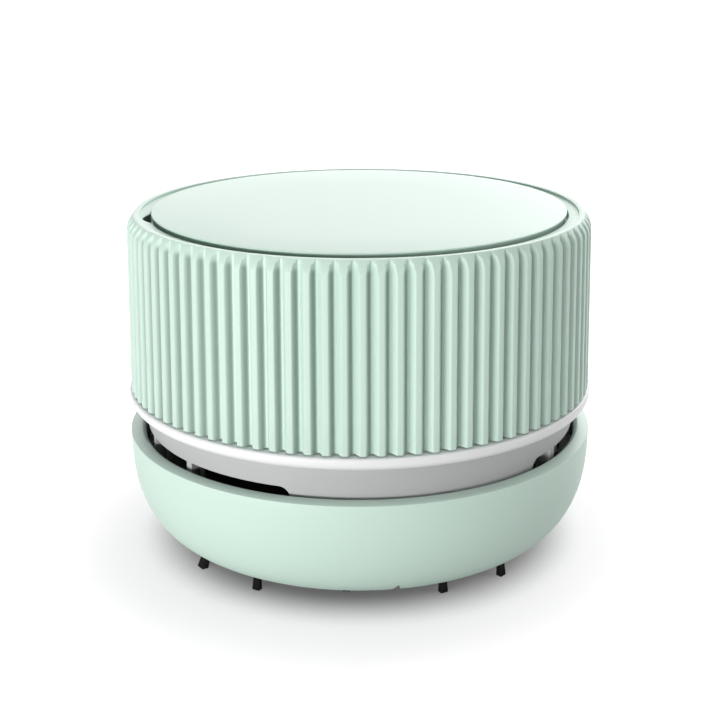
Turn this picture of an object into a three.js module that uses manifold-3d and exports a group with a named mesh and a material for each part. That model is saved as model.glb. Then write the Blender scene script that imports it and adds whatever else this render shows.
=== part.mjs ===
// Desktop mini vacuum cleaner: a ribbed turning drum over a vented body that plugs into a dust bowl.
// Millimetres, +Z up. The origin is on the table under the middle of the bowl, and the front is -Y.
// Plan angles are in degrees, counted from the front towards +X.

import * as THREE from 'three';
import { mergeGeometries, mergeVertices } from 'three/addons/utils/BufferGeometryUtils.js';
import Module from 'manifold-3d';

const wasm = await Module();
wasm.setup();

// Sizes of the drum's section; its radius and height follow from what it holds
const drumDraft = 0.63;
const drumWall = 1.27;
const ribCount = 90;
const ribDepth = 1.2;
const ribTopShare = 0.34;
const ribWallShare = 0.26;
const ribPhaseAngle = 0.7;
const chamferRun = 1.27;
const chamferRise = 2.5;

// Heights that stack up from the table to the rim
const bristleReach = 2.6;
const bowlHeight = 18.8;
const lipRise = 0.5;
const throatHeight = 5.7;
const flangeHeight = 2.2;
const coverRise = 0.26;

// One turn in degrees, as every plan angle is counted
const fullTurnAngle = 360;

// Clearances and the overrun that every cut shares
const fitGap = 0.3;
const turnGap = 0.3;
const plugGap = 0.5;
const overrun = 1;

// Steps of round outlines
const wideSteps = 40;
const midSteps = 24;
const smallSteps = 12;
const cellSteps = 16;
const screwSteps = 6;
const brushSteps = 40;

// Rim, ledge and cover seat at the drum's top
const rimWidth = 0.97;
const ledgeWidth = 1.78;
const ledgeDrop = 0.5;
const coverThickness = 1.76;
const coverEdge = 0.3;
const seatWidth = 1.75;
const seatThickness = 2.2;
const notchStartAngle = -88;
const notchEndAngle = -73;
const notchWidth = 1.4;
const legThickness = 1.2;
const legDrop = 3;
const legSpanAngle = 16;
const legAngles = [90, 210, 330];

// Vented body
const flangeInset = 0.7;
const flangeEdge = 0.4;
const throatDepth = 2.1;
const wallThickness = 1.8;
const plugDepth = 7.6;
const windowTopDrop = 4.5;
const windowHeight = 4.4;
const finDepth = 2.9;
const finThickness = 1.2;
const finInset = 0.15;
const finOverlap = 0.3;
const grooveRise = 1.5;
const sealRadius = 0.5;
const sealSides = 6;
const grooveDepth = 1.1;

// The windows' plan spans: three at the left front, two at the right front and two at the back
const windowAngles = [
  [-104, -69], [-67, -48.5], [-46.5, -17.5], [48.2, 57.8], [59.4, 100], [150, 180], [182, 212],
];
const finAngles = [-68, -47.5, 58.6, 181];
const fanBossAngles = [15, 125, 235];

// Bearing ring that the drum turns on, with the arc gap that stops it
const bearingHeight = 6.5;
const bearingThickness = 1.1;
const snapStep = 0.6;
const snapHeight = 1.5;
const beadHeight = 2;
const dialTravelAngle = 30;
const keySpanAngle = 8;
const keyAngle = 165;
const keyHeight = 5.3;
const keySlackAngle = 1;

// Bowl
const lipWidth = 1.27;
const lipShoulder = 1.42;
const bowlSideRun = 11.4;
const bowlSideRise = 16;
const shelfWidth = 1.9;
const bowlFloor = 1.4;
const floorCorner = 5;
const bowlArcSteps = 8;
const lipArcSteps = 2;
const floorArcSteps = 3;
const bowlKeySpanAngle = 5;
const bowlKeyHeight = 0.9;
const bowlKeyInset = 0.2;

// Suction plate under the bowl, its inlet and the brush strips round it
const plateThickness = 2;
const inletRadius = 7.5;
const inletWall = 1.5;
const inletRise = 3.1;
const inletFlare = 3;
const brushInset = 1.2;
const brushSquareness = 3;
const stripWidth = 2.2;
const stripThickness = 1.6;
const stripLift = 0.4;
const stripEndAngle = 1;
const tuftAngles = [-53.6, -32.7, -4.5, 26.4, 47.7, 73, 99, 125, 151, 177, 203, 229, 255, 281];
const stripSides = ['front', 'right', 'back', 'left'];
const firstStripAngle = -45;
const stripSteps = 9;
const plateScrewCircle = 20;
const plateScrewAngles = [60, 180, 300];
const plateScrewLength = 4;
const plateBossCap = 1;
const pryAngle = 9.5;
const pryWidth = 1.6;
const pryHeight = 0.9;
const pryReach = 3;
const strandCounts = [1, 7, 14];
const strandRadius = 0.09;
const strandSpacing = 0.27;
const strandSides = 3;
const strandRoot = 0.3;
const tuftSplayShare = 1.2;
const tuftLean = 0.3;

// Screws: one kind in two lengths
const shankRadius = 1;
const screwHeadRadius = 1.9;
const screwHeadHeight = 1;
const screwLength = 6;
const bossRadius = 2.8;
const screwHeadEdge = 0.5;

// Suction side of the fan and the filter that pulls off it
const intakeThickness = 1.5;
const intakeDrop = 0.3;
const eyeRadius = 9;
const eyeFlare = 1;
const collarRadius = 19.5;
const collarWall = 1.5;
const collarDepth = 2.5;
const intakeScrewInset = 3.1;
const intakeBossRadius = 2.4;
const filterWall = 1.4;
const filterHeight = 3.4;
const filterFloor = 0.8;
const filterTravel = 3.2;
const clothThickness = 1;
const spokeWidth = 1.6;
const spokeAngles = [0, 60, 120, 180, 240, 300];
const filterHub = 3;
const filterLedge = 4;

// Fan
const impellerRadius = 27;
const impellerPlate = 1.2;
const impellerGap = 0.8;
const bladeCount = 9;
const bladeThickness = 1;
const bladeRoot = 9.5;
const bladeHeight = 6.2;
const bladeTipLoss = 1.4;
const bladeSweepAngle = 52;
const bladeSteps = 5;
const hubRadius = 4;
const hubDrop = 6.4;

// Motor, of the flat-sided small kind
const motorWidth = 15;
const motorDepth = 20;
const canLength = 20;
const capLength = 4.7;
const motorShaftRadius = 1;
const shaftIntoMotor = 4;
const noseRadius = 4;
const noseDrop = 1.9;
const bushRadius = 2.7;
const bushLength = 3;
const socketWall = 1.2;
const socketHeight = 5;
const terminalWidth = 2.2;
const terminalThickness = 0.5;
const terminalHeight = 1.4;
const terminalSpread = 4.6;
const terminalReach = 3;
const padWidth = 5.2;
const padDepth = 14;
const padHeight = 1.5;

// Battery tray and its cells
const cellRadius = 7.25;
const cellLength = 50.5;
const nubRadius = 2.75;
const nubLength = 1;
const cellEdge = 0.4;
const springLength = 3.2;
const tabThickness = 0.4;
const tabWidth = 10;
const tabHeight = 12;
const tabTail = 1.5;
const tailWidth = 2.6;
const trayInset = 0.2;
const trayFloor = 1.5;
const trayRimHeight = 8;
const trayRimWall = 1.5;
const trayWall = 1;
const endWall = 1.2;
const sideWallHeight = 8;
const endWallHeight = 14;
const trayMargin = 0.347;
const cellDrop = 0.15;
const leadWindow = 14.5;
const trayScrewGap = 0.5;
const trayScrewAngles = [0, 90, 270];
const strapThickness = 1.2;
const strapReach = 25;
const strapScrewInset = 5;

// Battery springs: a conical helix
const springWire = 0.3;
const springCurls = 3;
const springWide = 4.4;
const springNarrow = 2.6;
const curlSteps = 8;
const curlSides = 5;
const leastSpringGap = 0.4;

// Switch: an arc of board on the deck and the brass wiper that the drum carries over it
const boardThickness = 0.9;
const boardWidth = 6.4;
const boardGap = 0.5;
const boardSpanAngle = 52;
const boardAngle = 180;
const wiperThickness = 0.4;
const wiperLength = 3.7;
const wiperWidth = 3;
const wiperHeight = 3.6;

// Internal leads
const leadRadius = 0.6;
const leadSides = 8;
const leadSteps = 14;
const leadBend = 3;
const leadLandingInset = 1;
const leadLandingAngle = 17;
const leadTurnY = 13;
const leadCapY = 10.2;

// Points that a lead passes between its ends, with their heights over the deck
const whiteRoute = [[6, 21, 7.2]];
const blackRoute = [[10, 21, 3.8], [-1, 17.5, 3.8]];

// Plan places inside the tray, which lead from the cells and the motor out to the drum
const tunnelHalf = motorWidth / 2 + fitGap;
const cellX = tunnelHalf + trayWall + fitGap + cellRadius;
const sideWallX = cellX + cellRadius + fitGap;
const bayLength = cellLength + springLength + tabThickness * 2 + fitGap * 5;
const bayHalf = bayLength / 2;
const cellShift = (springLength + fitGap) / 2;
const tabY = bayHalf - fitGap - tabThickness / 2;
const springY = bayHalf - fitGap - tabThickness - fitGap;
const trayRadius = Math.hypot(sideWallX + trayWall / 2, bayHalf + endWall) + trayMargin;
const trayScrewCircle = bayHalf + endWall + screwHeadRadius + trayScrewGap;
const strapScrewReach = strapReach - strapScrewInset;
const strapScrewPlaces = [-strapScrewReach, strapScrewReach].map((y) => new THREE.Vector2(0, y));

// Plan radii from the tray's clearance out to the ribs, and from there to the rim, the body and the bowl
const lipLimit = trayRadius + trayInset;
const drumInner = lipLimit + turnGap;
const drumRadius = drumInner + drumWall + ribDepth + drumDraft;
const rimOuter = drumRadius - drumDraft - chamferRun;
const rimInner = rimOuter - rimWidth;
const recessRadius = rimInner - ledgeWidth;
const coverRadius = recessRadius - fitGap;
const seatInner = recessRadius - seatWidth;
const flangeRadius = drumRadius - flangeInset;
const wallOuter = flangeRadius - throatDepth;
const wallInner = wallOuter - wallThickness;
const bearingOuter = lipLimit - snapStep;
const bearingInner = bearingOuter - bearingThickness;
const beadInner = bearingOuter + turnGap;
const mouthRadius = wallOuter + plugGap;
const lipOuter = mouthRadius + lipWidth;
const bowlRadius = lipOuter + lipShoulder;
const baseRadius = bowlRadius - bowlSideRun;
const shelfInner = mouthRadius - shelfWidth;
const inletOuter = inletRadius + inletWall;
const intakeRadius = wallInner - fitGap;
const intakeScrewCircle = intakeRadius - intakeScrewInset;
const sleeveInner = collarRadius + fitGap;
const sleeveOuter = sleeveInner + filterWall;
const brushHalf = baseRadius - brushInset;
const boardInner = bearingInner - boardGap - boardWidth;

// Heights of the bowl and the body, from the table up to the deck
const baseZ = bristleReach;
const lipOuterZ = baseZ + bowlHeight;
const lipInnerZ = lipOuterZ + lipRise;
const widestZ = baseZ + bowlSideRise;
const deckLowZ = lipInnerZ + throatHeight;
const deckTopZ = deckLowZ + flangeHeight;
const drumLowZ = deckTopZ + turnGap;
const windowTopZ = deckLowZ - windowTopDrop;
const windowLowZ = windowTopZ - windowHeight;
const wallLowZ = lipInnerZ - plugDepth;
const wallTopZ = deckLowZ - fitGap;
const shelfZ = wallLowZ - fitGap;
const grooveLowZ = wallLowZ + grooveRise;
const grooveHighZ = grooveLowZ + sealRadius + sealRadius + fitGap + fitGap;
const intakeTopZ = windowLowZ - intakeDrop;
const intakeLowZ = intakeTopZ - intakeThickness;
const collarLowZ = intakeLowZ - collarDepth;
const filterTopZ = intakeLowZ - fitGap;
const filterLowZ = filterTopZ - filterHeight;
const plateTopZ = baseZ + plateThickness;
const recessTopZ = plateTopZ + fitGap;
const floorZ = recessTopZ + bowlFloor;
const inletTopZ = floorZ + inletRise;
const bearingTopZ = deckTopZ + bearingHeight;
const bearingLipZ = bearingTopZ - snapHeight;
const stripLowZ = baseZ + stripLift;
const plateSeatZ = baseZ + screwHeadHeight;
const impellerTopZ = deckLowZ - impellerGap;
const hubLowZ = impellerTopZ - hubDrop;
const boardLowZ = deckTopZ + fitGap;
const boardTopZ = boardLowZ + boardThickness;
const wiperLowZ = boardTopZ + fitGap;

// Heights from the motor up through the strap and its screws to the cover and the rim
const motorLowZ = deckTopZ + fitGap;
const canTopZ = motorLowZ + canLength;
const capLowZ = canTopZ + fitGap;
const capTopZ = capLowZ + capLength;
const noseLowZ = motorLowZ - noseDrop;
const shaftTopZ = noseLowZ + bushLength + shaftIntoMotor;
const tunnelTopZ = capTopZ + fitGap + padHeight;
const trayTopZ = tunnelTopZ - cellDrop - cellRadius * 2 - fitGap;
const trayLowZ = trayTopZ - trayFloor;
const cellZ = trayTopZ + fitGap + cellRadius;
const strapLowZ = tunnelTopZ + fitGap;
const strapSeatZ = strapLowZ + strapThickness + fitGap;
const coverLowZ = strapSeatZ + screwHeadHeight + fitGap;
const coverTopZ = coverLowZ + coverThickness;
const rimZ = coverTopZ - coverRise;
const drumHeight = rimZ - drumLowZ;
const ledgeZ = rimZ - ledgeDrop;
const seatTopZ = coverLowZ - fitGap;
const seatLowZ = seatTopZ - seatThickness;

// Each strip's share of the brush frame
const stripSpanAngle = fullTurnAngle / stripSides.length;

// Materials as seen in the photograph, or as usual for the hidden pieces
const material = (color, roughness, metalness) =>
  new THREE.MeshStandardMaterial({ color, roughness, metalness });
const mint = material(0xcfe6dc, 0.42, 0);
const white = material(0xececec, 0.45, 0);
const black = material(0x141416, 0.6, 0);
const rubber = material(0x3a3d3f, 0.85, 0);
const steel = material(0xb9bcc0, 0.35, 1);
const brass = material(0xc9a65a, 0.35, 1);
const bronze = material(0x9c7440, 0.5, 1);
const foam = material(0x55585c, 0.95, 0);
const cloth = material(0xf2f2ee, 0.95, 0);
const boardGreen = material(0x1f6b45, 0.5, 0);
const cellWrap = material(0x2b3138, 0.4, 0.1);
const redLead = material(0xb3211e, 0.5, 0);
const whiteLead = material(0xe6e3da, 0.5, 0);

const radians = THREE.MathUtils.degToRad;

// A point on the plan circle, counted from the front towards +X
function polar(radius, degrees) {
  const angle = radians(degrees);
  return new THREE.Vector2(radius * Math.sin(angle), -radius * Math.cos(angle));
}

// Makes a solid of a closed geometry, facing out
function solidOf(geometry) {
  const bare = geometry.clone();
  bare.deleteAttribute('normal');
  bare.deleteAttribute('uv');
  const merged = mergeVertices(bare);
  const places = merged.getAttribute('position');
  const corners = [];
  const triangles = [];
  let volume = 0;
  for (let i = 0; i < merged.index.count; i += 3) {
    const [a, b, c] = [0, 1, 2].map((k) => merged.index.getX(i + k));
    if (a === b || b === c || a === c) continue;
    const [p, q, r] = [a, b, c].map((k) => new THREE.Vector3().fromBufferAttribute(places, k));
    volume += p.dot(q.cross(r));
    triangles.push([a, b, c]);
  }
  for (const [a, b, c] of triangles) corners.push(...(volume > 0 ? [a, b, c] : [a, c, b]));
  return new wasm.Manifold(new wasm.Mesh({
    numProp: 3,
    vertProperties: new Float32Array(places.array),
    triVerts: new Uint32Array(corners),
  }));
}

// Turns a solid back into a geometry
function geometryOf(solid) {
  const { vertProperties, triVerts } = solid.getMesh();
  const geometry = new THREE.BufferGeometry();
  geometry.setAttribute('position', new THREE.BufferAttribute(new Float32Array(vertProperties), 3));
  geometry.setIndex(new THREE.BufferAttribute(new Uint32Array(triVerts), 1));
  return geometry;
}

// Joins shapes, cuts others out of a shape, or keeps what two shapes share
const joined = (...shapes) => geometryOf(shapes.map(solidOf).reduce((whole, next) => whole.add(next)));
const cut = (shape, ...cutters) =>
  geometryOf(cutters.map(solidOf).reduce((left, cutter) => left.subtract(cutter), solidOf(shape)));
const shared = (first, second) => geometryOf(solidOf(first).intersect(solidOf(second)));

// Revolves [radius, height] points about the vertical axis
function revolved(points, steps) {
  const profile = points.map(([radius, z]) => new THREE.Vector2(radius, z));
  return new THREE.LatheGeometry(profile, steps).rotateX(Math.PI / 2);
}

// Revolves a closed outline that does not touch the axis
const revolvedRing = (points, steps) => revolved([...points, points[0]], steps);

// Raises a plan outline between two heights
function raised(outline, lowZ, highZ, curveSteps = smallSteps) {
  const options = { depth: highZ - lowZ, bevelEnabled: false, curveSegments: curveSteps };
  return new THREE.ExtrudeGeometry(outline, options).translate(0, 0, lowZ);
}

function disc(radius, lowZ, highZ, steps = midSteps) {
  return revolved([[0, lowZ], [radius, lowZ], [radius, highZ], [0, highZ]], steps);
}

function tube(inner, outer, lowZ, highZ, steps = midSteps) {
  return revolvedRing([[inner, lowZ], [outer, lowZ], [outer, highZ], [inner, highZ]], steps);
}

// A box between two opposite corners
function block([lowX, lowY, lowZ], [highX, highY, highZ]) {
  const box = new THREE.BoxGeometry(highX - lowX, highY - lowY, highZ - lowZ);
  return box.translate((lowX + highX) / 2, (lowY + highY) / 2, (lowZ + highZ) / 2);
}

// A part of a ring between two plan angles
function sector(inner, outer, lowZ, highZ, startDegrees, endDegrees) {
  const steps = Math.max(1, Math.ceil((endDegrees - startDegrees) * wideSteps / fullTurnAngle));
  const angles = Array.from({ length: steps + 1 }, (_, i) =>
    startDegrees + (endDegrees - startDegrees) * i / steps);
  const outerArc = angles.map((angle) => polar(outer, angle));
  const innerArc = angles.map((angle) => polar(inner, angle)).reverse();
  return raised(new THREE.Shape([...outerArc, ...innerArc]), lowZ, highZ);
}

// Copies a shape to each plan angle; the shape is drawn at the front, on -Y
const atAngles = (angles, make) => angles.map((angle) => make().rotateZ(radians(angle)));

// A standing cylinder at a plan point
function post(radius, lowZ, highZ, place, steps = smallSteps) {
  return disc(radius, lowZ, highZ, steps).translate(place.x, place.y, 0);
}

// The motor's outline: a circle with two flat sides, grown by a margin
function motorOutline(margin) {
  const radius = motorDepth / 2 + margin;
  const half = motorWidth / 2 + margin;
  const corner = Math.acos(half / radius);
  const outline = new THREE.Shape();
  outline.absarc(0, 0, radius, corner, Math.PI - corner, false);
  outline.absarc(0, 0, radius, Math.PI + corner, -corner, false);
  return outline;
}

// The brush frame's outline: a circle drawn out towards its four corners
function brushPoint(half, degrees) {
  const angle = radians(degrees);
  const lean = Math.abs(Math.cos(angle)) ** brushSquareness + Math.abs(Math.sin(angle)) ** brushSquareness;
  return polar(half / lean ** (1 / brushSquareness), degrees);
}

function brushArc(half, startDegrees, endDegrees, steps) {
  return Array.from({ length: steps + 1 }, (_, i) =>
    brushPoint(half, startDegrees + (endDegrees - startDegrees) * i / steps));
}

const brushOutline = (half) => new THREE.Shape(brushArc(half, 0, fullTurnAngle, brushSteps).slice(0, -1));

// Grouped scene: each helper adds one named mesh
const vacuum = new THREE.Group();

function add(name, geometry, look) {
  const mesh = new THREE.Mesh(geometry, look);
  mesh.name = name;
  vacuum.add(mesh);
  return mesh;
}

// A pan-head screw standing on its tip, with its head's underside at height zero
function screwShape(length) {
  return revolved([
    [0, -length],
    [shankRadius, -length],
    [shankRadius, 0],
    [screwHeadRadius, 0],
    [screwHeadRadius, screwHeadHeight / 2],
    [screwHeadRadius - screwHeadEdge, screwHeadHeight],
    [0, screwHeadHeight],
  ], screwSteps);
}

function addScrew(name, place, seatZ, headUp, length = screwLength) {
  const screw = add(name, screwShape(length), steel);
  screw.position.set(place.x, place.y, seatZ);
  if (!headUp) screw.rotation.x = Math.PI;
}

// Ribbed drum: a star-shaped prism with mould draft, trimmed by its chamfered envelope and hollowed
function ribbedDrum() {
  const pitch = fullTurnAngle / ribCount;
  const topHalf = pitch * ribTopShare / 2;
  const wall = pitch * ribWallShare;
  const outline = [];
  for (let rib = 0; rib < ribCount; rib += 1) {
    const middle = ribPhaseAngle + rib * pitch;
    outline.push(polar(drumRadius, middle - topHalf));
    outline.push(polar(drumRadius, middle + topHalf));
    outline.push(polar(drumRadius - ribDepth, middle + topHalf + wall));
    outline.push(polar(drumRadius - ribDepth, middle + pitch - topHalf - wall));
  }
  const ribs = raised(new THREE.Shape(outline), drumLowZ, rimZ + overrun);
  const places = ribs.getAttribute('position');
  for (let i = 0; i < places.count; i += 1) {
    const rise = (places.getZ(i) - drumLowZ) / drumHeight;
    const drawnIn = 1 - drumDraft / drumRadius * rise;
    places.setX(i, places.getX(i) * drawnIn);
    places.setY(i, places.getY(i) * drawnIn);
  }
  const reach = drumRadius + overrun;
  const envelope = revolved([
    [0, drumLowZ - overrun],
    [reach, drumLowZ - overrun],
    [reach, rimZ - (reach - rimOuter) * chamferRise / chamferRun],
    [rimOuter, rimZ],
    [0, rimZ],
  ], wideSteps);
  const beadLowZ = bearingLipZ - turnGap - beadHeight;
  const beadStep = drumInner - beadInner;
  const cavity = revolved([
    [0, drumLowZ - overrun],
    [drumInner, drumLowZ - overrun],
    [drumInner, beadLowZ],
    [beadInner, beadLowZ + beadStep],
    [beadInner, beadLowZ + beadHeight],
    [drumInner, beadLowZ + beadHeight],
    [drumInner, seatLowZ],
    [seatInner, seatLowZ],
    [seatInner, seatTopZ],
    [recessRadius, seatTopZ],
    [recessRadius, ledgeZ],
    [rimInner, ledgeZ],
    [rimInner, rimZ + overrun],
    [0, rimZ + overrun],
  ], wideSteps);
  const notch = sector(recessRadius - overrun, recessRadius + notchWidth, seatTopZ,
    ledgeZ + overrun, notchStartAngle, notchEndAngle);
  const keyInner = bearingInner - turnGap;
  const keyStart = keyAngle - keySpanAngle / 2;
  const keyLowZ = drumLowZ + fitGap;
  const key = sector(keyInner, drumInner + drumWall / 2, keyLowZ, keyLowZ + keyHeight,
    keyStart, keyStart + keySpanAngle);
  return joined(cut(shared(ribs, envelope), cavity, notch), key);
}

// Cover: a disc with a softened edge and three legs that grip inside the drum's seat
function topCover() {
  const plate = revolved([
    [0, coverLowZ],
    [coverRadius, coverLowZ],
    [coverRadius, coverTopZ - coverEdge],
    [coverRadius - coverEdge, coverTopZ],
    [0, coverTopZ],
  ], wideSteps);
  const legOuter = seatInner - fitGap;
  const legs = legAngles.map((angle) => sector(legOuter - legThickness, legOuter,
    coverLowZ - legDrop, coverLowZ + coverEdge, angle - legSpanAngle / 2, angle + legSpanAngle / 2));
  return joined(plate, ...legs);
}

// Body: flange, deck, bearing ring, screw bosses and the motor's socket in one moulding
function bodyShell() {
  const noseHole = noseRadius + fitGap;
  const shell = revolvedRing([
    [noseHole, deckLowZ],
    [flangeRadius - flangeEdge, deckLowZ],
    [flangeRadius, deckLowZ + flangeEdge],
    [flangeRadius, deckTopZ - flangeEdge],
    [flangeRadius - flangeEdge, deckTopZ],
    [bearingOuter, deckTopZ],
    [bearingOuter, bearingLipZ],
    [lipLimit, bearingLipZ],
    [bearingOuter, bearingTopZ],
    [bearingInner, bearingTopZ],
    [bearingInner, deckTopZ],
    [noseHole, deckTopZ],
  ], wideSteps);
  const stopHalf = keySpanAngle / 2 + keySlackAngle;
  const stopGap = sector(bearingInner - overrun, lipLimit + overrun, deckTopZ, bearingTopZ + overrun,
    keyAngle - stopHalf, keyAngle + dialTravelAngle + stopHalf);
  const socket = cut(
    raised(motorOutline(fitGap + socketWall), deckTopZ - fitGap, deckTopZ + socketHeight),
    raised(motorOutline(fitGap), deckTopZ - overrun, deckTopZ + socketHeight + overrun),
  );
  const trayBosses = trayScrewAngles.map((angle) => post(bossRadius, deckTopZ - fitGap,
    trayLowZ - fitGap, polar(trayScrewCircle, angle)));
  const fanBosses = fanBossAngles.map((angle) => post(intakeBossRadius, intakeTopZ + fitGap,
    deckLowZ + fitGap, polar(intakeScrewCircle, angle)));
  const holeRadius = shankRadius + fitGap;
  const screwReach = screwLength + fitGap;
  const trayHoles = trayScrewAngles.map((angle) => post(holeRadius, trayLowZ + trayFloor - screwReach,
    trayLowZ, polar(trayScrewCircle, angle), screwSteps));
  const fanHoles = fanBossAngles.map((angle) => post(holeRadius, intakeLowZ,
    intakeLowZ + screwReach, polar(intakeScrewCircle, angle), screwSteps));
  return cut(joined(cut(shell, stopGap), socket, ...trayBosses, ...fanBosses), ...trayHoles, ...fanHoles);
}

// Vent ring: the throat's wall under the deck, with its windows, fins, seal groove and the bowl's key slots
function ventRing() {
  const ring = revolvedRing([
    [wallInner, wallLowZ],
    [wallOuter, wallLowZ],
    [wallOuter, grooveLowZ],
    [wallOuter - grooveDepth, grooveLowZ],
    [wallOuter - grooveDepth, grooveHighZ],
    [wallOuter, grooveHighZ],
    [wallOuter, wallTopZ],
    [wallInner, wallTopZ],
  ], wideSteps);
  const windows = windowAngles.map(([start, end]) => sector(wallInner - overrun, wallOuter + overrun,
    windowLowZ, windowTopZ, start, end));
  const keySlots = fanBossAngles.map((angle) => sector(wallInner - overrun, wallOuter + overrun,
    wallLowZ - overrun, shelfZ + bowlKeyHeight + fitGap,
    angle - bowlKeySpanAngle / 2 - keySlackAngle, angle + bowlKeySpanAngle / 2 + keySlackAngle));
  const fins = atAngles(finAngles, () => block(
    [-finThickness / 2, finInset - wallOuter, windowLowZ - finOverlap],
    [finThickness / 2, finDepth - wallOuter, windowTopZ + finOverlap],
  ));
  return joined(cut(ring, ...windows, ...keySlots), ...fins);
}

// Seal: a rubber ring in the groove near the foot of the body's wall
function sealRing() {
  const middle = wallOuter - grooveDepth + fitGap + sealRadius;
  const middleZ = (grooveLowZ + grooveHighZ) / 2;
  const section = Array.from({ length: sealSides }, (_, i) => {
    const angle = 2 * Math.PI * i / sealSides;
    return [middle + sealRadius * Math.cos(angle), middleZ + sealRadius * Math.sin(angle)];
  });
  return revolvedRing(section, wideSteps);
}

// Bowl: an elliptical side between the flat base and the lip, a shelf inside, and a recess underneath
function dustBowl() {
  const holeRadius = inletOuter + fitGap;
  const side = Array.from({ length: bowlArcSteps + 1 }, (_, i) => {
    const angle = Math.PI / 2 * i / bowlArcSteps;
    return [baseRadius + bowlSideRun * Math.sin(angle), widestZ - bowlSideRise * Math.cos(angle)];
  });
  const shoulder = Array.from({ length: lipArcSteps }, (_, i) => {
    const angle = Math.PI / 2 * (i + 1) / lipArcSteps;
    return [lipOuter + lipShoulder * Math.cos(angle), widestZ + (lipOuterZ - widestZ) * Math.sin(angle)];
  });
  const cornerRadius = shelfInner - floorCorner;
  const corner = Array.from({ length: floorArcSteps + 1 }, (_, i) => {
    const angle = Math.PI / 2 * i / floorArcSteps;
    return [cornerRadius + floorCorner * Math.cos(angle), shelfZ - (shelfZ - floorZ) * Math.sin(angle)];
  });
  const shell = revolvedRing([
    [holeRadius, baseZ],
    ...side,
    ...shoulder,
    [mouthRadius, lipInnerZ],
    [mouthRadius, shelfZ],
    ...corner,
    [holeRadius, floorZ],
  ], wideSteps);
  const keyHalf = bowlKeySpanAngle / 2;
  const keys = fanBossAngles.map((angle) => sector(shelfInner + bowlKeyInset, mouthRadius + bowlKeyInset,
    shelfZ - bowlKeyInset, shelfZ + bowlKeyHeight, angle - keyHalf, angle + keyHalf));
  const recess = raised(brushOutline(brushHalf + stripWidth / 2 + fitGap), baseZ - overrun, recessTopZ);
  const pryNotch = block([-pryWidth / 2, -baseRadius - pryReach, baseZ - overrun],
    [pryWidth / 2, -baseRadius + pryReach, baseZ + pryHeight]).rotateZ(radians(pryAngle));
  const places = plateScrewAngles.map((angle) => polar(plateScrewCircle, angle));
  const holeTopZ = plateSeatZ + plateScrewLength + fitGap;
  const bosses = places.map((place) => post(bossRadius, floorZ - fitGap, holeTopZ + plateBossCap, place));
  const holes = places.map((place) => post(shankRadius + fitGap, baseZ, holeTopZ, place, screwSteps));
  return cut(joined(cut(shell, recess, pryNotch), ...keys, ...bosses), ...holes);
}

// Suction plate: closes the bowl's recess, and its flared inlet stands up inside as a dust barrier
function suctionPlate() {
  const plate = raised(brushOutline(brushHalf - stripWidth / 2 - fitGap), baseZ, plateTopZ);
  const snout = disc(inletOuter, baseZ, inletTopZ);
  const bore = revolved([
    [0, baseZ - overrun],
    [inletRadius + inletFlare + overrun, baseZ - overrun],
    [inletRadius + inletFlare, baseZ],
    [inletRadius, plateTopZ],
    [inletRadius, inletTopZ + overrun],
    [0, inletTopZ + overrun],
  ], midSteps);
  const places = plateScrewAngles.map((angle) => polar(plateScrewCircle, angle));
  const holes = places.map((place) => post(shankRadius + fitGap, baseZ - overrun, plateTopZ + overrun,
    place, screwSteps));
  const sinks = places.map((place) => post(screwHeadRadius + fitGap, baseZ - overrun, plateSeatZ + fitGap,
    place, smallSteps));
  return cut(joined(plate, snout), bore, ...holes, ...sinks);
}

// One bristle: a three-sided prism from its root to a tip that is trimmed flat on the table
function strand(root, tip, rootZ) {
  const corners = Array.from({ length: strandSides }, (_, i) => 2 * Math.PI * i / strandSides)
    .map((angle) => [strandRadius * Math.cos(angle), strandRadius * Math.sin(angle)]);
  const rows = [
    ...corners.map(([x, y]) => [tip.x + x, tip.y + y, 0]),
    ...corners.map(([x, y]) => [root.x + x, root.y + y, rootZ]),
  ];
  const faces = [0, 2, 1, 3, 4, 5];
  for (let i = 0; i < strandSides; i += 1) {
    const next = (i + 1) % strandSides;
    faces.push(i, next, strandSides + next, i, strandSides + next, strandSides + i);
  }
  const geometry = new THREE.BufferGeometry();
  geometry.setAttribute('position', new THREE.Float32BufferAttribute(rows.flat(), 3));
  geometry.setIndex(faces);
  return geometry;
}

// One tuft: rings of strands that splay from the root and lean outwards together
function tuft(angle) {
  const middle = brushPoint(brushHalf, angle);
  const lean = polar(tuftLean, angle);
  return strandCounts.flatMap((count, ring) => Array.from({ length: count }, (_, i) => {
    const offset = polar(strandSpacing * ring, fullTurnAngle * i / count);
    const root = middle.clone().add(offset);
    const tip = middle.clone().add(lean).addScaledVector(offset, tuftSplayShare);
    return strand(root, tip, stripLowZ + strandRoot);
  }));
}

// Brush strip: a quarter of the brush frame with its tufts set into it
function brushStrip(start) {
  const first = start + stripEndAngle;
  const last = start + stripSpanAngle - stripEndAngle;
  const outline = new THREE.Shape([
    ...brushArc(brushHalf + stripWidth / 2, first, last, stripSteps),
    ...brushArc(brushHalf - stripWidth / 2, first, last, stripSteps).reverse(),
  ]);
  const inSpan = (angle) => (angle - start + fullTurnAngle) % fullTurnAngle < stripSpanAngle;
  const strands = tuftAngles.filter(inSpan).flatMap(tuft);
  return joined(raised(outline, stripLowZ, stripLowZ + stripThickness), mergeGeometries(strands));
}

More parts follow.
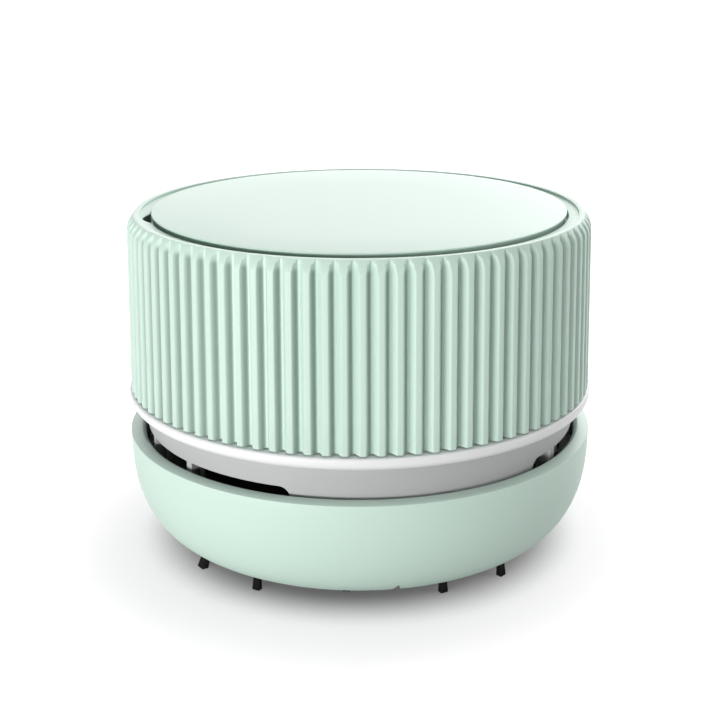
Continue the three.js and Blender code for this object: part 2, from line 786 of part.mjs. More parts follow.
// Intake plate: the fan's floor, with a belled eye and the collar that holds the filter
function intakePlate() {
  const plate = revolvedRing([
    [eyeRadius + eyeFlare, intakeLowZ],
    [collarRadius - collarWall, intakeLowZ],
    [collarRadius - collarWall, collarLowZ],
    [collarRadius, collarLowZ],
    [collarRadius, intakeLowZ],
    [intakeRadius, intakeLowZ],
    [intakeRadius, intakeTopZ],
    [eyeRadius, intakeTopZ],
  ], midSteps);
  const holes = fanBossAngles.map((angle) => post(shankRadius + fitGap, intakeLowZ - overrun,
    intakeTopZ + overrun, polar(intakeScrewCircle, angle), screwSteps));
  return cut(plate, ...holes);
}

// Filter frame: a sleeve round the collar with a spoked floor
function filterFrame() {
  const floorTopZ = filterLowZ + filterFloor;
  const ledge = tube(sleeveInner - filterLedge, sleeveOuter, filterLowZ, floorTopZ);
  const sleeve = tube(sleeveInner, sleeveOuter, filterLowZ, filterTopZ);
  const hub = disc(filterHub, filterLowZ, floorTopZ, smallSteps);
  const spokes = atAngles(spokeAngles, () => block([-spokeWidth / 2, filterLedge - sleeveInner - spokeWidth,
    filterLowZ], [spokeWidth / 2, 0, floorTopZ]));
  return joined(ledge, sleeve, hub, ...spokes);
}

// Impeller: a plate with backward-curved blades that lose height towards their tips
function impeller() {
  const plateLowZ = impellerTopZ - impellerPlate;
  const bladeLowZ = plateLowZ - bladeHeight;
  const bladeTip = impellerRadius - fitGap;
  const sides = [1, -1].map((side) => Array.from({ length: bladeSteps + 1 }, (_, i) => {
    const share = i / bladeSteps;
    const radius = bladeRoot + (bladeTip - bladeRoot) * share;
    const half = THREE.MathUtils.radToDeg(bladeThickness / 2 / radius);
    return polar(radius, side * half - bladeSweepAngle * share);
  }));
  const outline = new THREE.Shape([...sides[0], ...sides[1].reverse()]);
  const angles = Array.from({ length: bladeCount }, (_, i) => fullTurnAngle * i / bladeCount);
  const blades = atAngles(angles, () => raised(outline, bladeLowZ - overrun, plateLowZ + fitGap));
  const envelope = revolved([
    [0, bladeLowZ],
    [bladeRoot, bladeLowZ],
    [impellerRadius, bladeLowZ + bladeTipLoss],
    [impellerRadius, plateLowZ + fitGap],
    [0, plateLowZ + fitGap],
  ], midSteps);
  const trimmed = shared(joined(...blades), envelope);
  const hub = disc(hubRadius, hubLowZ, plateLowZ + fitGap, smallSteps);
  const bore = disc(motorShaftRadius + fitGap, hubLowZ - overrun, impellerTopZ + overrun, smallSteps);
  return cut(joined(disc(impellerRadius, plateLowZ, impellerTopZ), trimmed, hub), bore);
}

// Motor can with its nose, and the bore that the bush and the shaft go up into
function motorCan() {
  const nose = disc(noseRadius, noseLowZ, motorLowZ + fitGap, smallSteps);
  const bushBore = disc(bushRadius + fitGap, noseLowZ - overrun, noseLowZ + bushLength + fitGap, smallSteps);
  const shaftBore = disc(motorShaftRadius + fitGap, noseLowZ, shaftTopZ + fitGap, smallSteps);
  return cut(joined(raised(motorOutline(0), motorLowZ, canTopZ), nose), bushBore, shaftBore);
}

// Battery tray: a floor with a low rim, two bays, the motor's tunnel between them and the strap's posts
function batteryTray() {
  const bayTopZ = trayTopZ + sideWallHeight;
  const rootZ = trayTopZ - fitGap;
  const floor = cut(disc(trayRadius, trayLowZ, trayTopZ, wideSteps),
    block([-tunnelHalf, -leadWindow, trayLowZ - overrun], [tunnelHalf, leadWindow, trayTopZ + overrun]));
  const rim = tube(trayRadius - trayRimWall, trayRadius, trayLowZ, trayTopZ + trayRimHeight, wideSteps);
  const tunnelReach = tabY - tabThickness / 2 - fitGap;
  const walls = [-1, 1].flatMap((side) => {
    const tunnelX = side * (tunnelHalf + trayWall / 2);
    const sideX = side * (sideWallX + trayWall / 2);
    const endY = side * (bayHalf + endWall / 2);
    const endHalf = sideWallX + trayWall / 2;
    return [
      block([tunnelX - trayWall / 2, -tunnelReach, rootZ], [tunnelX + trayWall / 2, tunnelReach, tunnelTopZ]),
      block([sideX - trayWall / 2, -bayHalf - endWall / 2, rootZ],
        [sideX + trayWall / 2, bayHalf + endWall / 2, bayTopZ]),
      block([-endHalf, endY - endWall / 2, rootZ], [endHalf, endY + endWall / 2, trayTopZ + endWallHeight]),
    ];
  });
  const posts = strapScrewPlaces.map((place) => post(bossRadius, rootZ, tunnelTopZ, place));
  const holeRadius = shankRadius + fitGap;
  const postHoles = strapScrewPlaces.map((place) => post(holeRadius,
    strapLowZ + strapThickness - screwLength - fitGap, tunnelTopZ + overrun, place, screwSteps));
  const floorHoles = trayScrewAngles.map((angle) => post(holeRadius, trayLowZ - overrun, trayTopZ + overrun,
    polar(trayScrewCircle, angle), screwSteps));
  const slotHalf = tailWidth / 2 + fitGap;
  const slots = [-cellX, cellX].map((x) => block(
    [x - slotHalf, tabY - tabThickness / 2 - fitGap, trayLowZ - overrun],
    [x + slotHalf, tabY + tabThickness / 2 + fitGap, trayTopZ + overrun],
  ));
  return cut(joined(floor, rim, ...walls, ...posts), ...postHoles, ...floorHoles, ...slots);
}

// Strap over the motor, screwed to the tray's two posts
function motorStrap() {
  const half = tunnelHalf + trayWall;
  const topZ = strapLowZ + strapThickness;
  const plate = block([-half, -strapReach, strapLowZ], [half, strapReach, topZ]);
  const holes = strapScrewPlaces.map((place) => post(shankRadius + fitGap, strapLowZ - overrun,
    topZ + overrun, place, screwSteps));
  return cut(plate, ...holes);
}

// Contact tab: a plate behind the cell's end and a tail through the tray's floor
function contactTab(x) {
  const lowZ = trayTopZ + fitGap;
  const near = tabY - tabThickness / 2;
  const far = tabY + tabThickness / 2;
  return joined(
    block([x - tabWidth / 2, near, lowZ], [x + tabWidth / 2, far, lowZ + tabHeight]),
    block([x - tailWidth / 2, near, trayLowZ - tabTail], [x + tailWidth / 2, far, lowZ + tabHeight / 2]),
  );
}

// Battery cell: standing on its flat end, with its nub up
function cellShape() {
  const bodyTop = cellLength - nubLength;
  return revolved([
    [0, 0],
    [cellRadius - cellEdge, 0],
    [cellRadius, cellEdge],
    [cellRadius, bodyTop - cellEdge],
    [cellRadius - cellEdge, bodyTop],
    [nubRadius, bodyTop],
    [nubRadius, cellLength],
    [0, cellLength],
  ], cellSteps);
}

// Conical spring: its wire's middle follows a helix that narrows as it rises
function springPoint(share) {
  const angle = 2 * Math.PI * springCurls * share;
  const radius = springWide + (springNarrow - springWide) * share;
  const rise = springLength - springWire * 2;
  return new THREE.Vector3(radius * Math.cos(angle), radius * Math.sin(angle), springWire + rise * share);
}

function springShape() {
  const steps = springCurls * curlSteps;
  const middles = Array.from({ length: steps + 1 }, (_, i) => springPoint(i / steps));
  const gaps = middles.flatMap((point, i) => middles.slice(i + curlSteps / 2)
    .map((other) => point.distanceTo(other) - springWire * 2));
  const leastGap = Math.min(...gaps);
  console.log(`least gap between spring curls: ${leastGap.toFixed(2)} mm, wanted ${leastSpringGap}`);
  const places = middles.flatMap((middle, i) => {
    const ahead = middles[Math.min(i + 1, steps)];
    const behind = middles[Math.max(i - 1, 0)];
    const along = ahead.clone().sub(behind).normalize();
    const across = new THREE.Vector3(0, 0, 1).cross(along).normalize();
    const up = along.clone().cross(across);
    return Array.from({ length: curlSides }, (_, k) => {
      const angle = 2 * Math.PI * k / curlSides;
      return middle.clone()
        .addScaledVector(across, springWire * Math.cos(angle))
        .addScaledVector(up, springWire * Math.sin(angle)).toArray();
    });
  });
  const faces = [];
  for (let i = 0; i < steps; i += 1) {
    for (let k = 0; k < curlSides; k += 1) {
      const a = i * curlSides + k;
      const b = i * curlSides + (k + 1) % curlSides;
      faces.push(a, b, b + curlSides, a, b + curlSides, a + curlSides);
    }
  }
  for (let k = 1; k + 1 < curlSides; k += 1) {
    faces.push(0, k + 1, k);
    faces.push(steps * curlSides, steps * curlSides + k, steps * curlSides + k + 1);
  }
  const geometry = new THREE.BufferGeometry();
  geometry.setAttribute('position', new THREE.Float32BufferAttribute(places.flat(), 3));
  geometry.setIndex(faces);
  return joined(geometry);
}

// Wiper: a bent brass leaf behind the drum's key, whose foot rides over the board
function wiperShape() {
  const back = turnGap + fitGap - bearingInner;
  const upright = block([-wiperWidth / 2, back, wiperLowZ],
    [wiperWidth / 2, back + wiperThickness, wiperLowZ + wiperHeight]);
  const foot = block([-wiperWidth / 2, back, wiperLowZ],
    [wiperWidth / 2, back + wiperLength, wiperLowZ + wiperThickness]);
  return joined(upright, foot).rotateZ(radians(keyAngle));
}

// An internal lead along hand-laid points
function leadShape(points) {
  const route = new THREE.CatmullRomCurve3(points.map(([x, y, z]) => new THREE.Vector3(x, y, z)));
  const section = new THREE.Shape(Array.from({ length: leadSides }, (_, i) => {
    const angle = 2 * Math.PI * i / leadSides;
    return new THREE.Vector2(leadRadius * Math.cos(angle), leadRadius * Math.sin(angle));
  }));
  return new THREE.ExtrudeGeometry(section, { steps: leadSteps, bevelEnabled: false, extrudePath: route });
}

const overDeck = (route) => route.map(([x, y, rise]) => [x, y, deckTopZ + rise]);

// Drum with its wiper, and the cover in its top
add('ribbed_drum', ribbedDrum(), mint);
add('switch_wiper', wiperShape(), brass);
add('top_cover', topCover(), mint);

// Dust bowl with its suction plate and brushes
add('dust_bowl', dustBowl(), mint);
add('suction_plate', suctionPlate(), white);
stripSides.forEach((side, i) => {
  add(`brush_strip_${side}`, brushStrip(firstStripAngle + stripSpanAngle * i), black);
});
plateScrewAngles.forEach((angle, i) => {
  addScrew(`plate_screw_${i + 1}`, polar(plateScrewCircle, angle), plateSeatZ, false, plateScrewLength);
});

// Vented body with its seal and the fan's floor
add('body_shell', bodyShell(), white);
add('vent_ring', ventRing(), white);
add('seal_ring', sealRing(), rubber);
add('intake_plate', intakePlate(), white);
fanBossAngles.forEach((angle, i) => {
  addScrew(`intake_screw_${i + 1}`, polar(intakeScrewCircle, angle), intakeLowZ - fitGap, false);
});

// Filter
add('filter_frame', filterFrame(), black);
const clothLowZ = filterLowZ + filterFloor + fitGap;
const clothRadius = collarRadius - collarWall - fitGap;
add('filter_cloth', disc(clothRadius, clothLowZ, clothLowZ + clothThickness), cloth);

// Fan and motor
add('impeller', impeller(), white);
add('motor_shaft', disc(motorShaftRadius, hubLowZ + fitGap, shaftTopZ, smallSteps), steel);
add('motor_can', motorCan(), steel);
const bushInner = motorShaftRadius + fitGap;
add('motor_bush', tube(bushInner, bushRadius, noseLowZ, noseLowZ + bushLength, smallSteps), bronze);
add('motor_end_cap', raised(motorOutline(-fitGap), capLowZ, capTopZ), white);
for (const [side, sign] of [['left', -1], ['right', 1]]) {
  const x = sign * terminalSpread;
  const lowZ = capTopZ + fitGap;
  const half = terminalWidth / 2;
  add(`motor_terminal_${side}`, block([x - half, terminalReach, lowZ],
    [x + half, terminalReach + terminalThickness, lowZ + terminalHeight]), brass);
}
add('motor_pad', block([-padWidth / 2, -padDepth / 2, capTopZ + fitGap],
  [padWidth / 2, padDepth / 2, tunnelTopZ]), foam);

// Battery tray, its screws and the motor's strap
add('battery_tray', batteryTray(), white);
trayScrewAngles.forEach((angle, i) => {
  addScrew(`tray_screw_${i + 1}`, polar(trayScrewCircle, angle), trayTopZ + fitGap, true);
});
add('motor_strap', motorStrap(), white);
strapScrewPlaces.forEach((place, i) => {
  addScrew(`strap_screw_${i + 1}`, place, strapSeatZ, true);
});

// Cells, laid head to tail, and their contacts
const leftCell = add('battery_left', cellShape(), cellWrap);
leftCell.rotation.x = -Math.PI / 2;
leftCell.position.set(-cellX, cellShift - cellLength / 2, cellZ);
const rightCell = add('battery_right', cellShape(), cellWrap);
rightCell.rotation.x = Math.PI / 2;
rightCell.position.set(cellX, cellLength / 2 - cellShift, cellZ);
add('positive_tab', contactTab(-cellX), steel);
add('negative_tab', contactTab(cellX), steel);
const linkHalf = cellX + tabWidth / 2;
const linkLowZ = trayTopZ + fitGap;
add('link_strip', block([-linkHalf, -tabY - tabThickness / 2, linkLowZ],
  [linkHalf, tabThickness / 2 - tabY, linkLowZ + tabHeight]), steel);
const negativeSpring = add('negative_spring', springShape(), steel);
negativeSpring.rotation.x = Math.PI / 2;
negativeSpring.position.set(cellX, springY, cellZ);
const linkSpring = add('link_spring', springShape(), steel);
linkSpring.rotation.x = -Math.PI / 2;
linkSpring.position.set(-cellX, -springY, cellZ);

// Switch board and the three leads
add('switch_board', sector(boardInner, bearingInner - boardGap, boardLowZ, boardTopZ,
  boardAngle - boardSpanAngle / 2, boardAngle + boardSpanAngle / 2), boardGreen);
const tailZ = trayLowZ - tabTail - fitGap;
const landingZ = boardTopZ + fitGap;
const leftLanding = polar(boardInner + leadLandingInset, boardAngle + leadLandingAngle);
const rightLanding = polar(boardInner + leadLandingInset, boardAngle - leadLandingAngle);
const terminalZ = capTopZ + fitGap + terminalHeight / 2;
const terminalY = terminalReach + terminalThickness + fitGap;
add('lead_red', leadShape([
  [-cellX, tabY, tailZ],
  [-cellX, tabY, tailZ - leadBend],
  [leftLanding.x, leftLanding.y, landingZ + leadBend],
  [leftLanding.x, leftLanding.y, landingZ],
]), redLead);
const upToTerminal = (x) => [
  [x, leadTurnY, trayLowZ],
  [x, leadTurnY, canTopZ],
  [x, leadCapY, terminalZ],
  [x, terminalY + leadBend / 2, terminalZ],
  [x, terminalY, terminalZ],
];
add('lead_white', leadShape([
  [rightLanding.x, rightLanding.y, landingZ],
  [rightLanding.x, rightLanding.y, landingZ + leadBend],
  ...overDeck(whiteRoute),
  ...upToTerminal(terminalSpread),
]), whiteLead);
add('lead_black', leadShape([
  [cellX, tabY, tailZ],
  [cellX, tabY, tailZ - leadBend],
  ...overDeck(blackRoute),
  ...upToTerminal(-terminalSpread),
]), black);

export default vacuum;
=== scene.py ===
"""Looks of a small round desk cleaner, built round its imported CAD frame."""

import logging
import math
import random
from dataclasses import dataclass, field
from enum import Enum
from typing import Callable, Iterable, Sequence

import bmesh
import bpy
from mathutils import Matrix, Vector

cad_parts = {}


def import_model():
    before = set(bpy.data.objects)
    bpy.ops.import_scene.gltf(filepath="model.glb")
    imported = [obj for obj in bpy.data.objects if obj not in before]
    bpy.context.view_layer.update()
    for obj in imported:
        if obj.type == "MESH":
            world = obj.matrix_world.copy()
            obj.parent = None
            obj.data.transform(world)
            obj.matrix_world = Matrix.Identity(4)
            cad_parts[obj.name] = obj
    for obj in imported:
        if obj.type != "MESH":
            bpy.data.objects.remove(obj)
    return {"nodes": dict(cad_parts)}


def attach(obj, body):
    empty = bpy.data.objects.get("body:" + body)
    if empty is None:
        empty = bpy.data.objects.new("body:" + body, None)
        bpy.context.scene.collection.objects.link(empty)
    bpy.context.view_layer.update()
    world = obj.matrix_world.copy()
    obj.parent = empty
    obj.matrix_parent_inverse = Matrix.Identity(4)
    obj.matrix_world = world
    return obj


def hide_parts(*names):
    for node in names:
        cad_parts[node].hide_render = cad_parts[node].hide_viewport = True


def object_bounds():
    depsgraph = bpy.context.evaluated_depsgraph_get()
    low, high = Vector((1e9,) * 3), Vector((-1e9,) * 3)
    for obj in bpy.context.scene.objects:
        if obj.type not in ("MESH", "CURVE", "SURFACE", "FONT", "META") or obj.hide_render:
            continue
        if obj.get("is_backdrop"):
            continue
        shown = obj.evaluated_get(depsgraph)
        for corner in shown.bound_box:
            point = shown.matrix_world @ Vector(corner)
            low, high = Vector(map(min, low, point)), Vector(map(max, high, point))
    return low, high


LOG = logging.getLogger("cleaner")
MM = 0.001
TURN = 2 * math.pi
MERGE = 1e-4
CLOSE = 1e-3
TOUCH = 0.01
MEAN = 0.5
FACES = 240
MOTOR_RADIUS = 10.0
MOTOR_HALF = 7.5
SCREW_CIRCLE = 20.0
SCREW_ANGLES = (60.0, 180.0, 300.0)
KEY_ANGLES = (15.0, 125.0, 235.0)
INTAKE_CIRCLE = 34.0
TRAY_CIRCLE = 31.6
TRAY_ANGLES = (0.0, 90.0, 270.0)
Pair = tuple[float, float]
Profile = Sequence[Pair]
Colour = tuple[float, float, float]
Place = tuple[float, float, float]


class Body(str, Enum):
    """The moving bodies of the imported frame."""

    BOWL = "bowl"
    POWER = "power_unit"
    DRUM = "drum"
    COVER = "cover"
    FILTER = "filter"


class Value:
    """A shader number that takes part in arithmetic."""

    def __init__(self, tree: bpy.types.NodeTree, socket: bpy.types.NodeSocket) -> None:
        """Wraps one output socket.

        Args:
            tree: The node tree that holds the socket.
            socket: The output socket that gives the number.
        """
        self.tree = tree
        self.socket = socket

    def _math(self, operation: str, first: "Value | float", second: "Value | float") -> "Value":
        """Adds one Math node.

        Args:
            operation: The node's operation.
            first: Its first input.
            second: Its second input.

        Returns:
            The node's result.
        """
        node = self.tree.nodes.new("ShaderNodeMath")
        node.operation = operation
        for slot, item in zip(node.inputs, (first, second)):
            if isinstance(item, Value):
                self.tree.links.new(item.socket, slot)
            else:
                slot.default_value = item
        return Value(self.tree, node.outputs[0])

    def __add__(self, other: "Value | float") -> "Value":
        """Returns self + other."""
        return self._math("ADD", self, other)

    def __radd__(self, other: float) -> "Value":
        """Returns other + self."""
        return self._math("ADD", other, self)

    def __sub__(self, other: "Value | float") -> "Value":
        """Returns self - other."""
        return self._math("SUBTRACT", self, other)

    def __rsub__(self, other: float) -> "Value":
        """Returns other - self."""
        return self._math("SUBTRACT", other, self)

    def __mul__(self, other: "Value | float") -> "Value":
        """Returns self * other."""
        return self._math("MULTIPLY", self, other)

    def __rmul__(self, other: float) -> "Value":
        """Returns other * self."""
        return self._math("MULTIPLY", other, self)

    def angle(self, other: "Value") -> "Value":
        """Returns the angle in radians whose tangent is self / other."""
        return self._math("ARCTAN2", self, other)

    def fraction(self) -> "Value":
        """Returns what is left of self above the whole number under it."""
        return self._math("FRACT", self, 0.0)


class Painter:
    """Builds the node tree of one material or of the world."""

    def __init__(self, owner: bpy.types.ID) -> None:
        """Clears the owner's nodes.

        Args:
            owner: A material or a world.
        """
        owner.use_nodes = True
        self.tree = owner.node_tree
        self.tree.nodes.clear()

    def node(self, kind: str, settings: dict | None = None, inputs: dict | None = None) -> bpy.types.Node:
        """Adds one node.

        Args:
            kind: The node's type without its common beginning.
            settings: Its properties, and stops for a ramp as (place, colour) pairs.
            inputs: Values or links by socket name or number.

        Returns:
            The new node.
        """
        made = self.tree.nodes.new("ShaderNode" + kind)
        for name, item in (settings or {}).items():
            if name == "stops":
                ramp = made.color_ramp
                while len(ramp.elements) < len(item):
                    ramp.elements.new(1.0)
                for element, (place, colour) in zip(ramp.elements, item):
                    element.position = place
                    element.color = (*colour, 1.0)
            else:
                setattr(made, name, item)
        for name, item in (inputs or {}).items():
            slot = made.inputs[name]
            if isinstance(item, Value):
                self.tree.links.new(item.socket, slot)
            elif isinstance(item, bpy.types.NodeSocket):
                self.tree.links.new(item, slot)
            else:
                slot.default_value = item
        return made

    def value(self, node: bpy.types.Node, output: int | str = 0) -> Value:
        """Returns one output of a node as a number for arithmetic."""
        return Value(self.tree, node.outputs[output])

    def noise(self, scale: float, detail: float = 2.0, stretch: Place = (1, 1, 1)) -> Value:
        """Adds a noise pattern that is fixed to the piece.

        Args:
            scale: Features for each metre.
            detail: Octaves.
            stretch: Scale along each axis.

        Returns:
            The noise, about 0.5 on average.
        """
        place = self.node("TexCoord").outputs["Object"]
        turned = self.node("Mapping", inputs={"Vector": place, "Scale": stretch}).outputs[0]
        made = self.node("TexNoise", inputs={"Vector": turned, "Scale": scale, "Detail": detail})
        return self.value(made, "Fac")

    def step(self, value: Value, low: float, high: float) -> Value:
        """Returns a soft step from 0 to 1 between two values."""
        inputs = {"Value": value, "From Min": low, "From Max": high}
        return self.value(self.node("MapRange", {"interpolation_type": "SMOOTHSTEP"}, inputs))

    def blend(self, share: Value, first: Colour, second: Colour) -> bpy.types.NodeSocket:
        """Returns the mix of two colours by a varying share."""
        ramp = self.node("ValToRGB", {"stops": [(0.0, first), (1.0, second)]}, {"Fac": share})
        return ramp.outputs[0]

    def bump(self, height: Value, strength: float, depth: float) -> bpy.types.NodeSocket:
        """Returns a normal bent by a height pattern.

        Args:
            height: The pattern.
            strength: The share of the effect.
            depth: The pattern's depth in millimetres.

        Returns:
            The bent normal.
        """
        inputs = {"Strength": strength, "Distance": depth * MM, "Height": height}
        return self.node("Bump", inputs=inputs).outputs[0]

    def output(self, shader: bpy.types.NodeSocket, kind: str = "OutputMaterial") -> None:
        """Links the finished shader to the output."""
        self.node(kind, inputs={"Surface": shader})


def linear(red: int, green: int, blue: int) -> Colour:
    """Turns a colour as it is seen on a screen, 0 to 255, into the shader's linear numbers."""
    parts = (red / 255, green / 255, blue / 255)
    return tuple(p / 12.92 if p <= 0.04045 else ((p + 0.055) / 1.055) ** 2.4 for p in parts)


def shaded(colour: Colour, share: float) -> Colour:
    """Returns a colour made darker or lighter by a share."""
    return tuple(min(1.0, part * share) for part in colour)


@dataclass(frozen=True)
class Finish:
    """A surface finish with slow colour drift, uneven gloss and a fine grain."""

    name: str
    colour: Colour
    roughness: float
    metal: float = 0.0
    drift: float = 0.04
    drift_scale: float = 60.0
    gloss_drift: float = 0.06
    grain_scale: float = 5200.0
    grain_depth: float = 0.012
    grain_strength: float = 0.25
    stretch: Place = (1.0, 1.0, 1.0)
    coat: float = 0.0
    specular: float = 0.5
    detail: float = 3.0

    def tint(self, painter: Painter, slow: Value) -> bpy.types.NodeSocket:
        """Returns the colour with its slow drift."""
        return painter.blend(slow, shaded(self.colour, 1 - self.drift), shaded(self.colour, 1 + self.drift))

    def surface(self, painter: Painter) -> dict:
        """Paints the drift of colour and gloss, and the grain.

        Args:
            painter: The material's painter.

        Returns:
            The shader's inputs by name.
        """
        slow = painter.noise(self.drift_scale, self.detail)
        fine = painter.noise(self.grain_scale, self.detail, self.stretch)
        roughness = self.roughness + (fine - MEAN) * self.gloss_drift + (slow - MEAN) * self.gloss_drift
        return {
            "Base Color": self.tint(painter, slow),
            "Roughness": roughness,
            "Metallic": self.metal,
            "Coat Weight": self.coat,
            "Specular IOR Level": self.specular,
            "Normal": painter.bump(fine, self.grain_strength, self.grain_depth),
        }

    def material(self) -> bpy.types.Material:
        """Builds the finish, or finds it if it is built already.

        Returns:
            The material.
        """
        found = bpy.data.materials.get(self.name)
        if found:
            return found
        made = bpy.data.materials.new(self.name)
        painter = Painter(made)
        shader = painter.node("BsdfPrincipled", inputs=self.surface(painter))
        painter.output(shader.outputs[0])
        return made


@dataclass(frozen=True)
class Ribbed(Finish):
    """The ribbed drum's finish, with painted shade down one flank of each rib, the flank that turns away
    from the light.
    """

    ribs: int = 90
    phase: float = 0.7
    shade_place: float = 0.34
    shade_half: float = 0.17
    shade_depth: float = 0.5
    shade_top: float = 60.4
    shade_fade: float = 1.2
    shade_inner: float = 39.6
    shade_outer: float = 39.9

    def tint(self, painter: Painter, slow: Value) -> bpy.types.NodeSocket:
        """Returns the colour with its drift and the painted shade on one flank of each rib.

        Args:
            painter: The material's painter.
            slow: The slow drift pattern.

        Returns:
            The colour.
        """
        place = painter.node("TexCoord").outputs["Object"]
        parts = painter.node("SeparateXYZ", inputs={"Vector": place})
        x, y, z = (painter.value(parts, axis) for axis in range(3))
        share = (x.angle(0.0 - y) * (self.ribs / TURN) - self.phase * self.ribs / 360).fraction()
        near, middle, far = (self.shade_place + self.shade_half * side for side in (-1, 0, 1))
        # Painted shade: the flank of each rib that turns away from the light is darkened, only on the
        # ribbed outside and below the cap.
        flank = painter.step(share, near, middle) * (1 - painter.step(share, middle, far))
        below = 1 - painter.step(z, (self.shade_top - self.shade_fade) * MM, self.shade_top * MM)
        inner, outer = self.shade_inner * MM, self.shade_outer * MM
        outside = painter.step(x * x + y * y, inner ** 2, outer ** 2)
        return painter.blend(flank * below * outside + (slow - MEAN) * self.drift, self.colour,
                             shaded(self.colour, 1 - self.shade_depth))


@dataclass(frozen=True)
class Felt(Finish):
    """Pressed fibres: a coarse cross-laid grain over the plain finish."""

    fibre_scale: float = 1500.0
    fibre_detail: float = 4.0
    fibre_run: float = 0.2
    fibre_gain: float = 2.0
    dark: float = 0.72
    light: float = 1.05
    relief: float = 0.15
    relief_strength: float = 0.7

    def surface(self, painter: Painter) -> dict:
        """Paints the crossed fibres.

        Args:
            painter: The material's painter.

        Returns:
            The shader's inputs by name.
        """
        along = painter.noise(self.fibre_scale, self.fibre_detail, (1.0, self.fibre_run, 1.0))
        across = painter.noise(self.fibre_scale, self.fibre_detail, (self.fibre_run, 1.0, 1.0))
        fibres = along * across * self.fibre_gain
        dark, light = shaded(self.colour, self.dark), shaded(self.colour, self.light)
        return {
            "Base Color": painter.blend(fibres, dark, light),
            "Roughness": self.roughness + (fibres - MEAN) * self.gloss_drift,
            "Normal": painter.bump(fibres, self.relief_strength, self.relief),
        }


MINT = linear(203, 226, 214)
SATIN = {"colour": MINT, "roughness": 0.48, "drift": 0.015, "grain_depth": 0.006, "grain_strength": 0.15,
         "specular": 0.4}
MINT_GLOSS = Finish("mint_satin", **SATIN)
# The drum's finish carries painted shade on one flank of each rib.
MINT_RIBS_PAINTED_SHADE = Ribbed("mint_ribs_painted_shade", **SATIN)
# Painted shade: a darker copy of the mint for the shade in the undercut under the cover's edge.
MINT_PAINTED_SHADE = Finish("mint_undercut_painted_shade", linear(176, 196, 186), 0.6, drift=0.015, grain_depth=0.008)
# Painted shade: a dark mint for the sheet that stands for the shade inside the finger notch.
NOTCH_PAINTED_SHADE = Finish("mint_notch_painted_shade", linear(112, 130, 120), 0.7, drift=0.03, specular=0.2)
MINT_MATT = Finish("mint_fine_grain", MINT, 0.5, drift=0.015, grain_depth=0.008, grain_strength=0.2)
WHITE = Finish("white_moulding", linear(236, 236, 237), 0.4, drift=0.01, grain_depth=0.008)
# Painted shade: the white moulding made grey where the throat's wall lies in shade under the flange.
THROAT_PAINTED_SHADE = Finish("white_throat_painted_shade", linear(178, 178, 179), 0.5, drift=0.01, grain_depth=0.008)
WHITE_INNER = Finish("white_inner_moulding", linear(222, 222, 221), 0.5, drift=0.03, grain_depth=0.02)
GREY_INNER = Finish("dark_inner_moulding", linear(52, 53, 55), 0.55, drift=0.06, grain_depth=0.02)
BLACK = Finish("black_moulding", linear(24, 24, 26), 0.45, drift=0.08)
# Painted shade: near-black sheets on the window sills, standing for the shade inside the vents.
VENT_PAINTED_SHADE = Finish("vent_sill_painted_shade", linear(16, 16, 17), 0.7, drift=0.05, specular=0.2)
BRISTLE = Finish("black_nylon", linear(6, 6, 7), 0.6, drift=0.2, grain_scale=2600.0, specular=0.15)
RUBBER = Finish("seal_rubber", linear(58, 60, 62), 0.75, drift=0.08, grain_depth=0.03)
STEEL = Finish("drawn_steel", linear(178, 180, 184), 0.3, 1.0, 0.05, stretch=(1.0, 1.0, 0.05))
NICKEL = Finish("nickel_strip", linear(196, 194, 188), 0.25, 1.0, 0.04, stretch=(0.1, 1.0, 1.0))
ZINC = Finish("zinc_screw", linear(168, 171, 178), 0.35, 1.0, 0.08, grain_scale=3000.0)
BRONZE = Finish("sintered_bronze", linear(150, 112, 66), 0.55, 1.0, 0.12, grain_scale=4000.0,
                grain_depth=0.03)
BRASS = Finish("brass_leaf", linear(203, 172, 102), 0.3, 1.0, 0.05)
BOARD = Finish("board_lacquer", linear(30, 102, 66), 0.35, drift=0.08, coat=0.4)
CELL = Finish("cell_wrap", linear(44, 50, 58), 0.28, drift=0.05, coat=0.5)
CELL_END = Finish("cell_end", linear(190, 190, 188), 0.3, 1.0, 0.05)
FOAM = Finish("foam_pad", linear(84, 88, 92), 0.95, drift=0.15, grain_scale=1800.0, grain_depth=0.2,
              grain_strength=0.8)
CLOTH = Felt("filter_felt", linear(238, 238, 232), 0.9)
RED = Finish("red_insulation", linear(178, 36, 32), 0.45)
PALE = Finish("white_insulation", linear(226, 223, 214), 0.45)
DARK = Finish("black_insulation", linear(26, 26, 28), 0.45)


